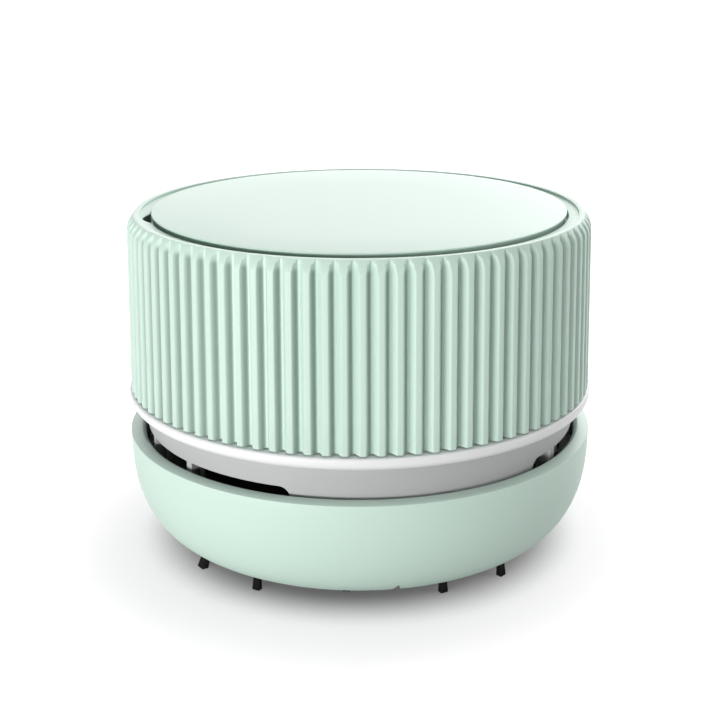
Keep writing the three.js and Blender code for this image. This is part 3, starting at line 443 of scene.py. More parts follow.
class Form:
    """A mesh under construction, in millimetres."""

    def __init__(self) -> None:
        """Starts an empty mesh."""
        self.mesh = bmesh.new()

    @classmethod
    def spun(cls, profile: Profile, steps: int, closed: bool = True, degrees: float = 360.0) -> "Form":
        """Turns a profile about the upright axis.

        Args:
            profile: Points of radius and height.
            steps: Faces round the axis.
            closed: Whether the last point joins the first.
            degrees: How far it turns, a full turn or a part of one.

        Returns:
            The turned form.
        """
        form = cls()
        mesh = form.mesh
        points = [mesh.verts.new((radius, 0.0, height)) for radius, height in profile]
        pairs = list(zip(points, points[1:]))
        if closed:
            pairs.append((points[-1], points[0]))
        lines = [mesh.edges.new(pair) for pair in pairs]
        bmesh.ops.spin(mesh, geom=points + lines, cent=(0, 0, 0), axis=(0, 0, 1),
                       angle=math.radians(degrees), steps=steps, use_merge=degrees == 360.0,
                       use_duplicate=False)
        bmesh.ops.remove_doubles(mesh, verts=mesh.verts, dist=MERGE)
        return form

    @classmethod
    def block(cls, low: Sequence[float], high: Sequence[float], soft: float = 0.0) -> "Form":
        """Makes a box between two corners.

        Args:
            low: The lowest corner.
            high: The highest corner.
            soft: How wide its edges are bevelled.

        Returns:
            The box.
        """
        form = cls()
        bmesh.ops.create_cube(form.mesh, size=1.0)
        size = [b - a for a, b in zip(low, high)]
        middle = [(a + b) / 2 for a, b in zip(low, high)]
        bmesh.ops.scale(form.mesh, vec=size, verts=form.mesh.verts)
        bmesh.ops.translate(form.mesh, vec=middle, verts=form.mesh.verts)
        if soft:
            form.bevel(form.mesh.edges[:], soft, 2)
        return form

    @classmethod
    def prism(cls, outline: Iterable[Pair], low: float, high: float) -> "Form":
        """Raises a plan outline between two heights.

        Args:
            outline: Plan points in order.
            low: The lower height.
            high: The upper height.

        Returns:
            The prism.
        """
        form = cls()
        mesh = form.mesh
        corners = [mesh.verts.new((x, y, low)) for x, y in outline]
        face = mesh.faces.new(corners)
        raised = bmesh.ops.extrude_face_region(mesh, geom=[face])
        tops = [item for item in raised["geom"] if isinstance(item, bmesh.types.BMVert)]
        bmesh.ops.translate(mesh, vec=(0, 0, high - low), verts=tops)
        return form

    @classmethod
    def sector(cls, inner: float, outer: float, low: float, high: float, start: float,
               end: float) -> "Form":
        """Builds a part of a ring.

        Args:
            inner: Its inner radius.
            outer: Its outer radius.
            low: Its lower height.
            high: Its upper height.
            start: The plan angle of its first end.
            end: The plan angle of its last end.

        Returns:
            The part.
        """
        steps = max(2, round((end - start) / 2))
        angles = [start + (end - start) * i / steps for i in range(steps + 1)]
        rim = [polar(outer, angle) for angle in angles]
        rim += [polar(inner, angle) for angle in reversed(angles)]
        return cls.prism(rim, low, high)

    def ringed(self, count: int) -> "Form":
        """Repeats a part of a turn round the axis until it closes.

        Args:
            count: How many parts make the full turn.

        Returns:
            The closed form.
        """
        store = bpy.data.meshes.new("store")
        self.mesh.to_mesh(store)
        turn = Matrix.Rotation(TURN / count, 4, "Z")
        for _ in range(count - 1):
            store.transform(turn)
            self.mesh.from_mesh(store)
        bpy.data.meshes.remove(store)
        bmesh.ops.remove_doubles(self.mesh, verts=self.mesh.verts, dist=CLOSE)
        return self

    def bevel(self, edges: list, width: float, segments: int) -> "Form":
        """Rounds edges.

        Args:
            edges: The edges.
            width: How wide the rounding is.
            segments: How many faces it has.

        Returns:
            The form.
        """
        bmesh.ops.bevel(self.mesh, geom=edges, offset=width, segments=segments, profile=0.5,
                        affect="EDGES", material=-1)
        return self

    def reshape(self, rule: Callable[[Vector], Vector]) -> "Form":
        """Moves each vertex to where a rule puts it.

        Args:
            rule: Gives a vertex's new place from its old one.

        Returns:
            The form.
        """
        for vertex in self.mesh.verts:
            vertex.co = rule(vertex.co)
        return self

    @classmethod
    def tube(cls, route: Sequence[Vector], radius: float, sides: int) -> "Form":
        """Lays a round tube along a route.

        Args:
            route: Points close together.
            radius: The tube's radius.
            sides: How many faces go round it.

        Returns:
            The tube, closed at both ends.
        """
        form = cls()
        across = Vector((0.0, 0.0, 1.0)).cross(route[1] - route[0])
        if across.length < CLOSE:
            across = Vector((1.0, 0.0, 0.0))
        last: list = []
        for number, middle in enumerate(route):
            along = (route[min(number + 1, len(route) - 1)] - route[max(number - 1, 0)]).normalized()
            across = (across - along * across.dot(along)).normalized()
            turn = Matrix((across, along.cross(across), along)).transposed().to_4x4()
            made = bmesh.ops.create_circle(form.mesh, segments=sides, radius=radius,
                                           cap_ends=number in (0, len(route) - 1),
                                           matrix=Matrix.Translation(middle) @ turn)
            ring = made["verts"]
            for k, vertex in enumerate(ring):
                if last:
                    after = (k + 1) % sides
                    form.mesh.faces.new((last[k], last[after], ring[after], vertex))
            last = ring
        return form

    def turned(self, degrees: float, axis: str = "Z") -> "Form":
        """Turns the form about an axis through the origin.

        Args:
            degrees: How far it turns.
            axis: The axis.

        Returns:
            The form.
        """
        turn = Matrix.Rotation(math.radians(degrees), 3, axis)
        bmesh.ops.rotate(self.mesh, cent=(0, 0, 0), matrix=turn, verts=self.mesh.verts)
        return self

    def moved(self, x: float, y: float, z: float) -> "Form":
        """Moves the form and returns it."""
        bmesh.ops.translate(self.mesh, vec=(x, y, z), verts=self.mesh.verts)
        return self

    def joined(self, others: Iterable["Form"]) -> "Form":
        """Takes other forms into this one.

        Args:
            others: The other forms, which are used up.

        Returns:
            The form.
        """
        for other in others:
            store = bpy.data.meshes.new("store")
            other.mesh.to_mesh(store)
            self.mesh.from_mesh(store)
            bpy.data.meshes.remove(store)
            other.mesh.free()
        return self

    def placed(self, name: str, finish: Finish | None = None) -> bpy.types.Object:
        """Closes the mesh and puts it in the scene, in metres.

        Args:
            name: The piece's name.
            finish: Its finish.

        Returns:
            The new object.
        """
        bmesh.ops.scale(self.mesh, vec=(MM, MM, MM), verts=self.mesh.verts)
        bmesh.ops.recalc_face_normals(self.mesh, faces=self.mesh.faces)
        data = bpy.data.meshes.new(name)
        self.mesh.to_mesh(data)
        self.mesh.free()
        made = bpy.data.objects.new(name, data)
        bpy.context.scene.collection.objects.link(made)
        if finish:
            data.materials.append(finish.material())
        return made


def smooth(piece: bpy.types.Object, degrees: float = 35.0) -> None:
    """Shades a piece smooth, with sharp edges past an angle.

    Args:
        piece: The piece.
        degrees: The angle past which an edge is sharp.
    """
    for face in piece.data.polygons:
        face.use_smooth = True
    piece.data.set_sharp_from_angle(angle=math.radians(degrees))


def carve(piece: bpy.types.Object, cutter: bpy.types.Object) -> None:
    """Cuts one object out of another, and removes the cutter.

    Args:
        piece: The object that keeps its material.
        cutter: The object that is taken away from it.
    """
    modifier = piece.modifiers.new("cut", "BOOLEAN")
    modifier.operation = "DIFFERENCE"
    modifier.solver = "EXACT"
    modifier.object = cutter
    graph = bpy.context.evaluated_depsgraph_get()
    result = bpy.data.meshes.new_from_object(piece.evaluated_get(graph))
    piece.modifiers.clear()
    result.materials.clear()
    for material in piece.data.materials:
        result.materials.append(material)
    piece.data = result
    bpy.data.objects.remove(cutter)


def seat(piece: bpy.types.Object, body: Body, slot: str, *nodes: str) -> None:
    """Smooths a piece, ties it to its body, and hides the CAD nodes that it stands for.

    Args:
        piece: The finished piece.
        body: The body that carries it.
        slot: The record's material slot; not used.
        *nodes: The CAD nodes that it stands for.
    """
    smooth(piece)
    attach(piece, body.value)
    if nodes:
        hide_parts(*nodes)
    LOG.info("%s: %d faces on %s", piece.name, len(piece.data.polygons), body.value)


def polar(radius: float, degrees: float) -> Pair:
    """Returns the plan point at an angle that is counted from the front towards +X."""
    angle = math.radians(degrees)
    return radius * math.sin(angle), -radius * math.cos(angle)


def arc(centre: Pair, size: Pair, start: float, end: float, steps: int) -> list[Pair]:
    """Lays points along a part of an ellipse.

    Args:
        centre: The ellipse's middle.
        size: Its two half widths.
        start: The first angle in degrees.
        end: The last angle in degrees.
        steps: How many parts the arc has.

    Returns:
        The points, both ends included.
    """
    angles = [math.radians(start + (end - start) * i / steps) for i in range(steps + 1)]
    return [(centre[0] + size[0] * math.cos(a), centre[1] + size[1] * math.sin(a)) for a in angles]


def spline(knots: Sequence[Vector], steps: int) -> list[Vector]:
    """Runs one smooth curve through points.

    Args:
        knots: The points that it passes.
        steps: How many parts it has between two of them.

    Returns:
        Points along the curve.
    """
    ends = [knots[0] * 2 - knots[1], *knots, knots[-1] * 2 - knots[-2]]
    route = []
    for before, start, stop, after in zip(ends, ends[1:], ends[2:], ends[3:]):
        near = math.sqrt((start - before).length)
        span = math.sqrt((stop - start).length)
        beyond = math.sqrt((after - stop).length)
        leave = (start - before) / near - (stop - before) / (near + span) + (stop - start) / span
        arrive = (stop - start) / span - (after - start) / (span + beyond) + (after - stop) / beyond
        for i in range(steps):
            t = i / steps
            route.append(start * (2 * t**3 - 3 * t**2 + 1) + stop * (3 * t**2 - 2 * t**3)
                         + leave * span * (t**3 - 2 * t**2 + t) + arrive * span * (t**3 - t**2))
    return route + [knots[-1].copy()]


def motor_outline(margin: float) -> list[Pair]:
    """Lays out the motor's flat-sided round outline.

    Args:
        margin: How far it is grown.

    Returns:
        Plan points in order.
    """
    radius, half = MOTOR_RADIUS + margin, MOTOR_HALF + margin
    corner = math.degrees(math.acos(half / radius))
    size = (radius, radius)
    steps = 16
    back = arc((0, 0), size, corner, 180 - corner, steps)
    return back + arc((0, 0), size, 180 + corner, 360 - corner, steps)


def squarish(half: float, degrees: float) -> Pair:
    """Finds a point on the brush frame's outline, a circle drawn out towards its four corners.

    Args:
        half: The half width between its flatter sides.
        degrees: The plan angle.

    Returns:
        The plan point.
    """
    angle = math.radians(degrees)
    squareness = 3.0
    reach = abs(math.cos(angle)) ** squareness + abs(math.sin(angle)) ** squareness
    return polar(half / reach ** (1 / squareness), degrees)


def plate_outline(half: float, steps: int = 160) -> list[Pair]:
    """Returns a whole outline of the brush frame's shape."""
    return [squarish(half, 360 * i / steps) for i in range(steps)]


def soft_ramp(value: float, width: float) -> float:
    """Takes the positive part of a value, with the corner at zero rounded.

    Args:
        value: The value.
        width: How far the rounding reaches to each side of zero.

    Returns:
        The rounded part.
    """
    if value <= -width:
        return 0.0
    if value >= width:
        return value
    return (value + width) ** 2 / (4 * width)


def soft_least(first: float, second: float, width: float) -> float:
    """Returns the smaller of two values, with the corner between them rounded."""
    return first - soft_ramp(first - second, width)


@dataclass
class Drum:
    """The ribbed drum that turns, with its stepped rim."""

    radius: float = 42.0
    low: float = 30.1
    rim: float = 61.5
    draft: float = 0.63
    ribs: int = 90
    phase: float = 0.7
    rib_depth: float = 1.2
    top_share: float = 0.34
    wall_share: float = 0.26
    corner_share: float = 0.03
    columns: tuple[float, ...] = (0.0, 0.12, 0.155, 0.185, 0.22, 0.38, 0.415, 0.445, 0.5)
    plain_rows: tuple[float, ...] = (36.0, 42.0, 48.0, 54.0, 58.0, 58.6)
    cap_steps: int = 18
    cap_low: float = 59.0
    cap_lead: float = 0.5
    cap_run: float = 1.32
    cap_power: float = 1.8
    cap_soft: float = 0.07
    foot_edge: float = 0.15
    foot_share: float = 0.4
    soft: float = 0.1
    soft_share: float = 0.3
    rim_outer: float = 40.1
    rim_inner: float = 39.13
    ledge: float = 61.0
    recess: float = 37.35
    ledge_band: float = 0.15
    seat_top: float = 59.7
    seat_step: float = 0.25
    seat_inner: float = 35.6
    seat_low: float = 57.5
    inner: float = 38.9
    bead_inner: float = 38.3
    bead_low: float = 32.5
    bead_slope: float = 0.6
    bead_top: float = 34.5
    notch_angle: float = -79.0
    notch_half: float = 7.5
    notch_width: float = 1.25
    notch_deep: float = 1.6
    notch_floor: float = 58.6
    # The dark sheet of painted shade in the finger notch.
    notch_shade_share: float = 0.9
    notch_shade_steps: int = 24
    notch_shade_gap: float = 0.02
    notch_shade_inner: float = 0.07
    notch_shade_drop: float = 0.12
    notch_shade_floor: float = 0.1
    key_root: float = 0.2
    key_inner: float = 36.6
    key_low: float = 30.4
    key_top: float = 35.7
    key_angles: Pair = (161.0, 169.0)

    def shares(self) -> list[float]:
        """Returns where the columns of one rib pitch stand, as shares of the pitch."""
        return list(self.columns) + [1 - share for share in reversed(self.columns[1:-1])]

    def outer_rows(self) -> list[float]:
        """Works out the rows on the ribbed side.

        Returns:
            Their heights from the foot up.
        """
        foot = [self.low, self.low + self.foot_edge * self.foot_share, self.low + self.foot_edge]
        rise = (self.rim - self.cap_low) / self.cap_steps
        cap = [self.cap_low + rise * i for i in range(self.cap_steps + 1)]
        return foot + list(self.plain_rows) + cap

    def side_radius(self, share: float, height: float) -> float:
        """Returns the ribbed side's radius.

        Args:
            share: The place within one pitch, 0 at a rib's middle.
            height: The height.

        Returns:
            The radius there.
        """
        away = min(share, 1 - share)
        foot = self.top_share / 2
        fall = soft_ramp(away - foot, self.corner_share)
        fall -= soft_ramp(away - foot - self.wall_share, self.corner_share)
        rise = (height - self.low) / (self.rim - self.low)
        straight = self.radius - self.rib_depth * fall / self.wall_share
        plain = straight * (1 - self.draft / self.radius * rise)
        edge = self.foot_edge * max(0.0, 1 - (height - self.low) / self.foot_edge) ** 2
        if height < self.cap_low - self.cap_lead:
            return plain - edge
        along = max(0.0, (height - self.cap_low) / (self.rim - self.cap_low))
        cap = self.rim_outer + self.cap_run * (1 - along ** self.cap_power)
        return soft_least(plain, cap, self.cap_soft)

    def notch(self, degrees: float) -> float:
        """Returns how far the ledge is cut back at a plan angle for the finger notch."""
        away = abs((degrees - self.notch_angle + 180) % 360 - 180) / self.notch_half
        return self.notch_width * math.cos(math.pi / 2 * away) ** 2 if away < 1 else 0.0

    def notch_shade_sheet(self) -> Form:
        """Builds the painted shade of the finger notch: a thin dark wall that follows it, and its floor,
        standing for the shade inside the notch.

        Returns:
            The painted shade.
        """
        steps = self.notch_shade_steps
        span = self.notch_half * self.notch_shade_share
        angles = [self.notch_angle + span * (2 * i / steps - 1) for i in range(steps + 1)]
        back = list(reversed(angles))
        outer = [polar(self.recess + self.notch(angle) - self.notch_shade_gap, angle) for angle in angles]
        inner = [polar(self.recess + self.notch(angle) - self.notch_shade_inner, angle) for angle in back]
        under = [polar(self.recess - self.seat_step, angle) for angle in back]
        wall = Form.prism(outer + inner, self.notch_floor, self.ledge - self.notch_shade_drop)
        floor = Form.prism(outer + under, self.notch_floor, self.notch_floor + self.notch_shade_floor)
        return wall.joined([floor])

    def lay_pitch(self, point: Vector) -> Vector:
        """Moves one vertex of a plain turned pitch onto the ribbed one.

        Args:
            point: The vertex's place.

        Returns:
            Its new place.
        """
        shares = self.shares() + [1.0]
        pitch = 360 / self.ribs
        turned = math.degrees(math.atan2(point.y, point.x))
        share = shares[round(turned / pitch * (len(shares) - 1))]
        radius = math.hypot(point.x, point.y)
        if radius > self.rim_outer - TOUCH:
            radius = self.side_radius(share, point.z)
        x, y = polar(radius, self.phase + share * pitch)
        return Vector((x, y, point.z))

    def cut_notch(self, point: Vector) -> Vector:
        """Moves one vertex at the ledge's inner edge to where the finger notch has it.

        Args:
            point: The vertex's place.

        Returns:
            Its new place.
        """
        radius = math.hypot(point.x, point.y)
        at_edge = self.recess - TOUCH < radius < self.recess + self.ledge_band
        if not at_edge or point.z < self.seat_top - TOUCH:
            return point
        degrees = math.degrees(math.atan2(point.x, -point.y))
        cut = self.notch(degrees)
        x, y = polar(radius + cut, degrees)
        deep = self.notch_deep if cut and point.z < self.seat_top + TOUCH else 0.0
        return Vector((x, y, point.z - deep))

    def build(self) -> None:
        """Builds the drum."""
        soft = self.soft
        part = soft * self.soft_share
        profile = [(self.radius, height) for height in self.outer_rows()[:-1]]
        profile += [
            (self.rim_outer, self.rim),
            (self.rim_inner + soft, self.rim),
            (self.rim_inner + part, self.rim - part),
            (self.rim_inner, self.rim - soft),
            (self.rim_inner, self.ledge + soft),
            (self.rim_inner - soft, self.ledge),
            (self.recess + soft, self.ledge),
            (self.recess + part, self.ledge - part),
            (self.recess, self.ledge - soft),
            (self.recess, self.seat_top),
            (self.recess - self.seat_step, self.seat_top),
            (self.seat_inner, self.seat_top),
            (self.seat_inner, self.seat_low),
            (self.inner, self.seat_low),
            (self.inner, self.bead_top),
            (self.bead_inner, self.bead_top),
            (self.bead_inner, self.bead_low + self.bead_slope),
            (self.inner, self.bead_low),
            (self.inner, self.low),
        ]
        form = Form.spun(profile, len(self.shares()), degrees=360 / self.ribs)
        form.reshape(self.lay_pitch).ringed(self.ribs).reshape(self.cut_notch)
        key = Form.sector(self.key_inner, self.inner + self.key_root, self.key_low, self.key_top,
                          *self.key_angles)
        form.joined([key])
        seat(form.placed("drum_ribs", MINT_RIBS_PAINTED_SHADE), Body.DRUM, "mint_plastic", "ribbed_drum")
        # The finger notch gets a dark sheet of painted shade.
        seat(self.notch_shade_sheet().placed("notch_shade_sheet", NOTCH_PAINTED_SHADE), Body.DRUM, "mint_plastic")


@dataclass
class Cover:
    """The plain disc over the cells, with its three spring legs."""

    radius: float = 37.05
    low: float = 60.0
    top: float = 61.76
    edge: float = 0.18
    plate: float = 61.5
    undercut: float = 0.3
    lap: float = 0.05
    foot_edge: float = 0.1
    disc_rings: tuple[float, ...] = (0.66, 0.33, 0.0)
    leg_outer: float = 35.3
    leg_inner: float = 34.1
    leg_low: float = 57.0
    leg_angles: tuple[float, ...] = (90.0, 210.0, 330.0)
    leg_half: float = 8.0

    def build(self) -> None:
        """Builds the cover."""
        corner = arc((self.radius - self.edge, self.top - self.edge), (self.edge, self.edge), 0, 90, 5)
        disc = [(0.0, self.plate), (self.radius - self.lap, self.plate),
                (self.radius, self.plate + self.lap), *corner]
        disc += [(self.radius * share, self.top) for share in self.disc_rings]
        plate = Form.spun(disc, FACES, closed=False).placed("cover_disc", MINT_MATT)
        seat(plate, Body.COVER, "mint_plastic", "top_cover")
        inset = self.radius - self.undercut
        foot = [(0.0, self.low), (inset - self.foot_edge, self.low), (inset, self.low + self.foot_edge),
                (inset, self.plate + self.lap), (0.0, self.plate + self.lap)]
        form = Form.spun(foot, FACES, closed=False)
        form.joined(Form.sector(self.leg_inner, self.leg_outer, self.leg_low, self.low + self.edge,
                                angle - self.leg_half, angle + self.leg_half) for angle in self.leg_angles)
        # The cover's foot wears painted shade, a darker mint for the undercut under the disc's edge.
        seat(form.placed("cover_foot", MINT_PAINTED_SHADE), Body.COVER, "mint_plastic")


@dataclass
class Bowl:
    """The dust bowl, open at the top, with the recess for the suction plate underneath."""

    base: float = 2.6
    base_radius: float = 30.99
    run: float = 11.4
    bulge: float = 0.91
    lift: float = 0.8
    side_steps: int = 40
    lip_outer_height: float = 21.84
    lip_edge: float = 0.12
    lip_inner: float = 40.3
    lip_inner_height: float = 22.15
    lip_band: float = 0.2
    lip_fall: tuple[float, ...] = (0.01, 0.05, 0.65)
    mouth: float = 39.7
    shelf: float = 14.0
    shelf_edge: float = 0.2
    shelf_inner: float = 37.8
    floor: float = 6.3
    corner: float = 5.0
    hole: float = 9.3
    recess_half: float = 31.19
    recess_top: float = 4.9
    key_half: float = 1.7
    key_lap: float = 0.1
    key_sink: float = 0.2
    key_rise: float = 0.9
    key_soft: float = 0.15
    boss_radius: float = 2.8
    boss_foot: float = 0.5
    boss_sink: float = 0.4
    boss_edge: float = 0.3
    boss_top: float = 8.9
    pry_angle: float = 9.5
    pry_half: float = 1.6
    pry_top: float = 5.6
    pry_point: float = 0.12
    pry_depth: Pair = (-3.0, 8.0)

    def profile(self) -> list[Pair]:
        """Works out the bowl's section.

        Returns:
            Points of radius and height, from the inlet hole round the outside and back inside.
        """
        top = self.lip_outer_height - self.lip_edge
        widest = self.base_radius + self.run
        quarter = [math.pi / 2 * i / self.side_steps for i in range(self.side_steps)]
        side = [(self.base_radius + self.run * math.sin(a) ** self.bulge,
                 top - (top - self.base) * math.cos(a) ** self.lift) for a in quarter]
        lip = arc((widest - self.lip_edge, top), (self.lip_edge, self.lip_edge), 0, 80, 4)
        radii = (self.lip_inner + self.lip_band, self.lip_inner, self.mouth)
        lip += [(radius, self.lip_inner_height - fall) for radius, fall in zip(radii, self.lip_fall)]
        floor_corner = arc((self.shelf_inner - self.corner, self.shelf),
                           (self.corner, self.shelf - self.floor), 0, -90, 14)
        inside = [(self.mouth, self.shelf + self.shelf_edge), (self.mouth - self.shelf_edge, self.shelf)]
        return [(self.hole, self.base), *side, *lip, *inside, *floor_corner, (self.hole, self.floor)]

    def build(self) -> None:
        """Builds the bowl."""
        form = Form.spun(self.profile(), 256)
        bowl = form.placed("bowl_shell", MINT_GLOSS)
        recess = Form.prism(plate_outline(self.recess_half), self.base - 1, self.recess_top)
        wedge = [(-self.pry_half, self.base - 1), (self.pry_half, self.base - 1),
                 (self.pry_point, self.pry_top), (-self.pry_point, self.pry_top)]
        near, far = (self.base_radius + depth for depth in self.pry_depth)
        notch = Form.prism(wedge, near, far).turned(90, "X").turned(self.pry_angle)
        carve(bowl, recess.placed("recess_cutter"))
        carve(bowl, notch.placed("notch_cutter"))
        seat(bowl, Body.BOWL, "mint_plastic", "dust_bowl")
        self.fittings()

    def fittings(self) -> None:
        """Builds the keys on the shelf and the screw bosses on the floor."""
        bosses = Form()
        foot = self.boss_radius + self.boss_foot
        profile = [(0.0, self.floor - self.boss_sink), (foot, self.floor - self.boss_sink),
                   (self.boss_radius, self.floor + self.boss_sink),
                   (self.boss_radius, self.boss_top - self.boss_edge),
                   (self.boss_radius - self.boss_edge, self.boss_top), (0.0, self.boss_top)]
        for angle in SCREW_ANGLES:
            boss = Form.spun(profile, 32, closed=False)
            bosses.joined([boss.moved(*polar(SCREW_CIRCLE, angle), 0)])
        low = (-self.key_half, -self.mouth - self.key_lap, self.shelf - self.key_sink)
        high = (self.key_half, -self.shelf_inner - self.key_lap, self.shelf + self.key_rise)
        bosses.joined(Form.block(low, high, self.key_soft).turned(angle) for angle in KEY_ANGLES)
        seat(bosses.placed("bowl_bosses", MINT_GLOSS), Body.BOWL, "mint_plastic")


@dataclass
class SuctionHead:
    """The plate under the bowl, its inlet and the brush strips."""

    base: float = 2.6
    plate_top: float = 4.6
    half: float = 28.39
    rim_edge: float = 0.25
    brush_half: float = 29.79
    strip_width: float = 2.2
    strip_low: float = 3.0
    strip_top: float = 4.6
    inlet_top: float = 9.4
    inlet_radius: float = 7.5
    inlet_outer: float = 9.0
    flare: float = 3.0
    flare_margin: float = 1.5
    snout_root: float = 0.5
    snout_edge: float = 0.3
    sink_radii: Pair = (2.3, 2.2)
    sink_top: float = 3.9
    tuft_angles: tuple[float, ...] = (-55.6, -32.7, -4.5, 26.2, 47.5, *range(73, 282, 26))
    sides: tuple[str, ...] = ("front", "right", "back", "left")
    quarter: float = 90.0
    strip_gap: float = 1.0
    strip_steps: int = 40
    strip_edge: float = 0.12
    rows: tuple[int, int] = (11, 6)
    strand_radius: float = 0.1
    strand_sides: int = 5
    strand_taper: float = 0.85
    root_lift: float = 0.3
    root_share: float = 0.8
    foot_share: float = 1.15
    stray: float = 0.05
    ragged: float = 0.06
    tuft_size: Pair = (1.1, 0.8)
    tuft_lean: float = 0.25
    wide_tuft: float = -55.6
    wide_size: Pair = (1.6, 0.9)
    wide_lean: float = 1.2
    worn_tuft: float = -4.5
    worn_tip: float = 0.8
    worn_ragged: float = 0.5
    first_seed: int = 7

    def build(self) -> None:
        """Builds the plate, its inlet and the brush strips."""
        form = Form.prism(plate_outline(self.half), self.base, self.plate_top)
        rims = [edge for edge in form.mesh.edges
                if all(abs(vertex.co.z - self.base) < CLOSE for vertex in edge.verts)]
        form.bevel(rims, self.rim_edge, 2)
        plate = form.placed("suction_plate_body", WHITE)
        wide = self.inlet_radius + self.flare
        bore = [(0.0, self.base - 1), (wide + self.flare_margin, self.base - 1), (wide, self.base),
                *arc((wide, self.plate_top), (self.flare, self.plate_top - self.base), -90, -180, 8),
                (self.inlet_radius, self.plate_top + 1), (0.0, self.plate_top + 1)]
        carve(plate, Form.spun(bore, 96, closed=False).placed("bore_cutter"))
        mouth, bottom = self.sink_radii
        sink = [(0.0, self.base - 1), (mouth, self.base - 1), (bottom, self.sink_top), (0.0, self.sink_top)]
        sinks = Form().joined(Form.spun(sink, 32, closed=False).moved(*polar(SCREW_CIRCLE, angle), 0)
                              for angle in SCREW_ANGLES)
        carve(plate, sinks.placed("sink_cutter"))
        seat(plate, Body.BOWL, "white_plastic", "suction_plate")
        root, edge = self.plate_top - self.snout_root, self.snout_edge
        snout = [(self.inlet_radius, root), (self.inlet_outer, root),
                 (self.inlet_outer, self.inlet_top - edge), (self.inlet_outer - edge, self.inlet_top),
                 (self.inlet_radius + edge, self.inlet_top), (self.inlet_radius, self.inlet_top - edge)]
        seat(Form.spun(snout, 96).placed("inlet_snout", WHITE), Body.BOWL, "white_plastic")
        for index, side in enumerate(self.sides):
            self.strip(side, self.quarter * (index - 0.5), index)

    def strand(self, form: Form, root: Vector, tip: Vector) -> None:
        """Adds one bristle from its root to its tip, trimmed flat at the table.

        Args:
            form: The tufts that it joins.
            root: Where it leaves the strip.
            tip: Where it ends.
        """
        made = bmesh.ops.create_cone(form.mesh, cap_ends=True, segments=self.strand_sides, depth=1.0,
                                     radius1=self.strand_radius * self.strand_taper,
                                     radius2=self.strand_radius)
        for vertex in made["verts"]:
            share = vertex.co.z + 0.5
            middle = tip.lerp(root, share)
            vertex.co = Vector((vertex.co.x + middle.x, vertex.co.y + middle.y, middle.z))

    def tuft(self, form: Form, angle: float, luck: random.Random) -> None:
        """Adds one tuft: bristles in rows along the strip, cut level at the table.

        Args:
            form: The tufts that it joins.
            angle: Its plan angle.
            luck: Where the small differences between bristles come from.
        """
        wide, worn = angle == self.wide_tuft, angle == self.worn_tuft
        size = self.wide_size if wide else self.tuft_size
        lean = self.wide_lean if wide else self.tuft_lean
        level = self.worn_tip if worn else 0.0
        ragged = self.worn_ragged if worn else self.ragged
        x, y = squarish(self.brush_half, angle)
        out = Vector((*polar(1.0, angle), 0.0))
        along = Vector((-out.y, out.x, 0.0))
        for i in range(self.rows[0]):
            for k in range(self.rows[1]):
                shares = (i / (self.rows[0] - 1) - 0.5, k / (self.rows[1] - 1) - 0.5)
                offset = along * shares[0] * size[0] + out * shares[1] * size[1]
                jitter = [luck.uniform(-self.stray, self.stray) for _ in range(2)]
                root = Vector((x, y, self.strip_low + self.root_lift)) + offset * self.root_share
                tip = Vector((x, y, 0.0)) + offset * self.foot_share + out * lean + Vector((*jitter, 0.0))
                tip.z = level + luck.uniform(0.0, ragged)
                self.strand(form, root, tip)

    def strip(self, side: str, start: float, seed: int) -> None:
        """Builds one brush strip with its tufts.

        Args:
            side: The side's name.
            start: The plan angle where its quarter starts.
            seed: What the small differences between bristles grow from.
        """
        luck = random.Random(seed + self.first_seed)
        run = self.quarter - self.strip_gap * 2
        angles = [start + self.strip_gap + run * i / self.strip_steps for i in range(self.strip_steps + 1)]
        outer = [squarish(self.brush_half + self.strip_width / 2, angle) for angle in angles]
        inner = [squarish(self.brush_half - self.strip_width / 2, angle) for angle in reversed(angles)]
        form = Form.prism(outer + inner, self.strip_low, self.strip_top)
        form.bevel(form.mesh.edges[:], self.strip_edge, 1)
        seat(form.placed(f"strip_bar_{side}", BLACK), Body.BOWL, "bristle_black", f"brush_strip_{side}")
        tufts = Form()
        for angle in self.tuft_angles:
            if (angle - start) % 360 < self.quarter:
                self.tuft(tufts, angle, luck)
        seat(tufts.placed(f"tufts_{side}", BRISTLE), Body.BOWL, "bristle_black")


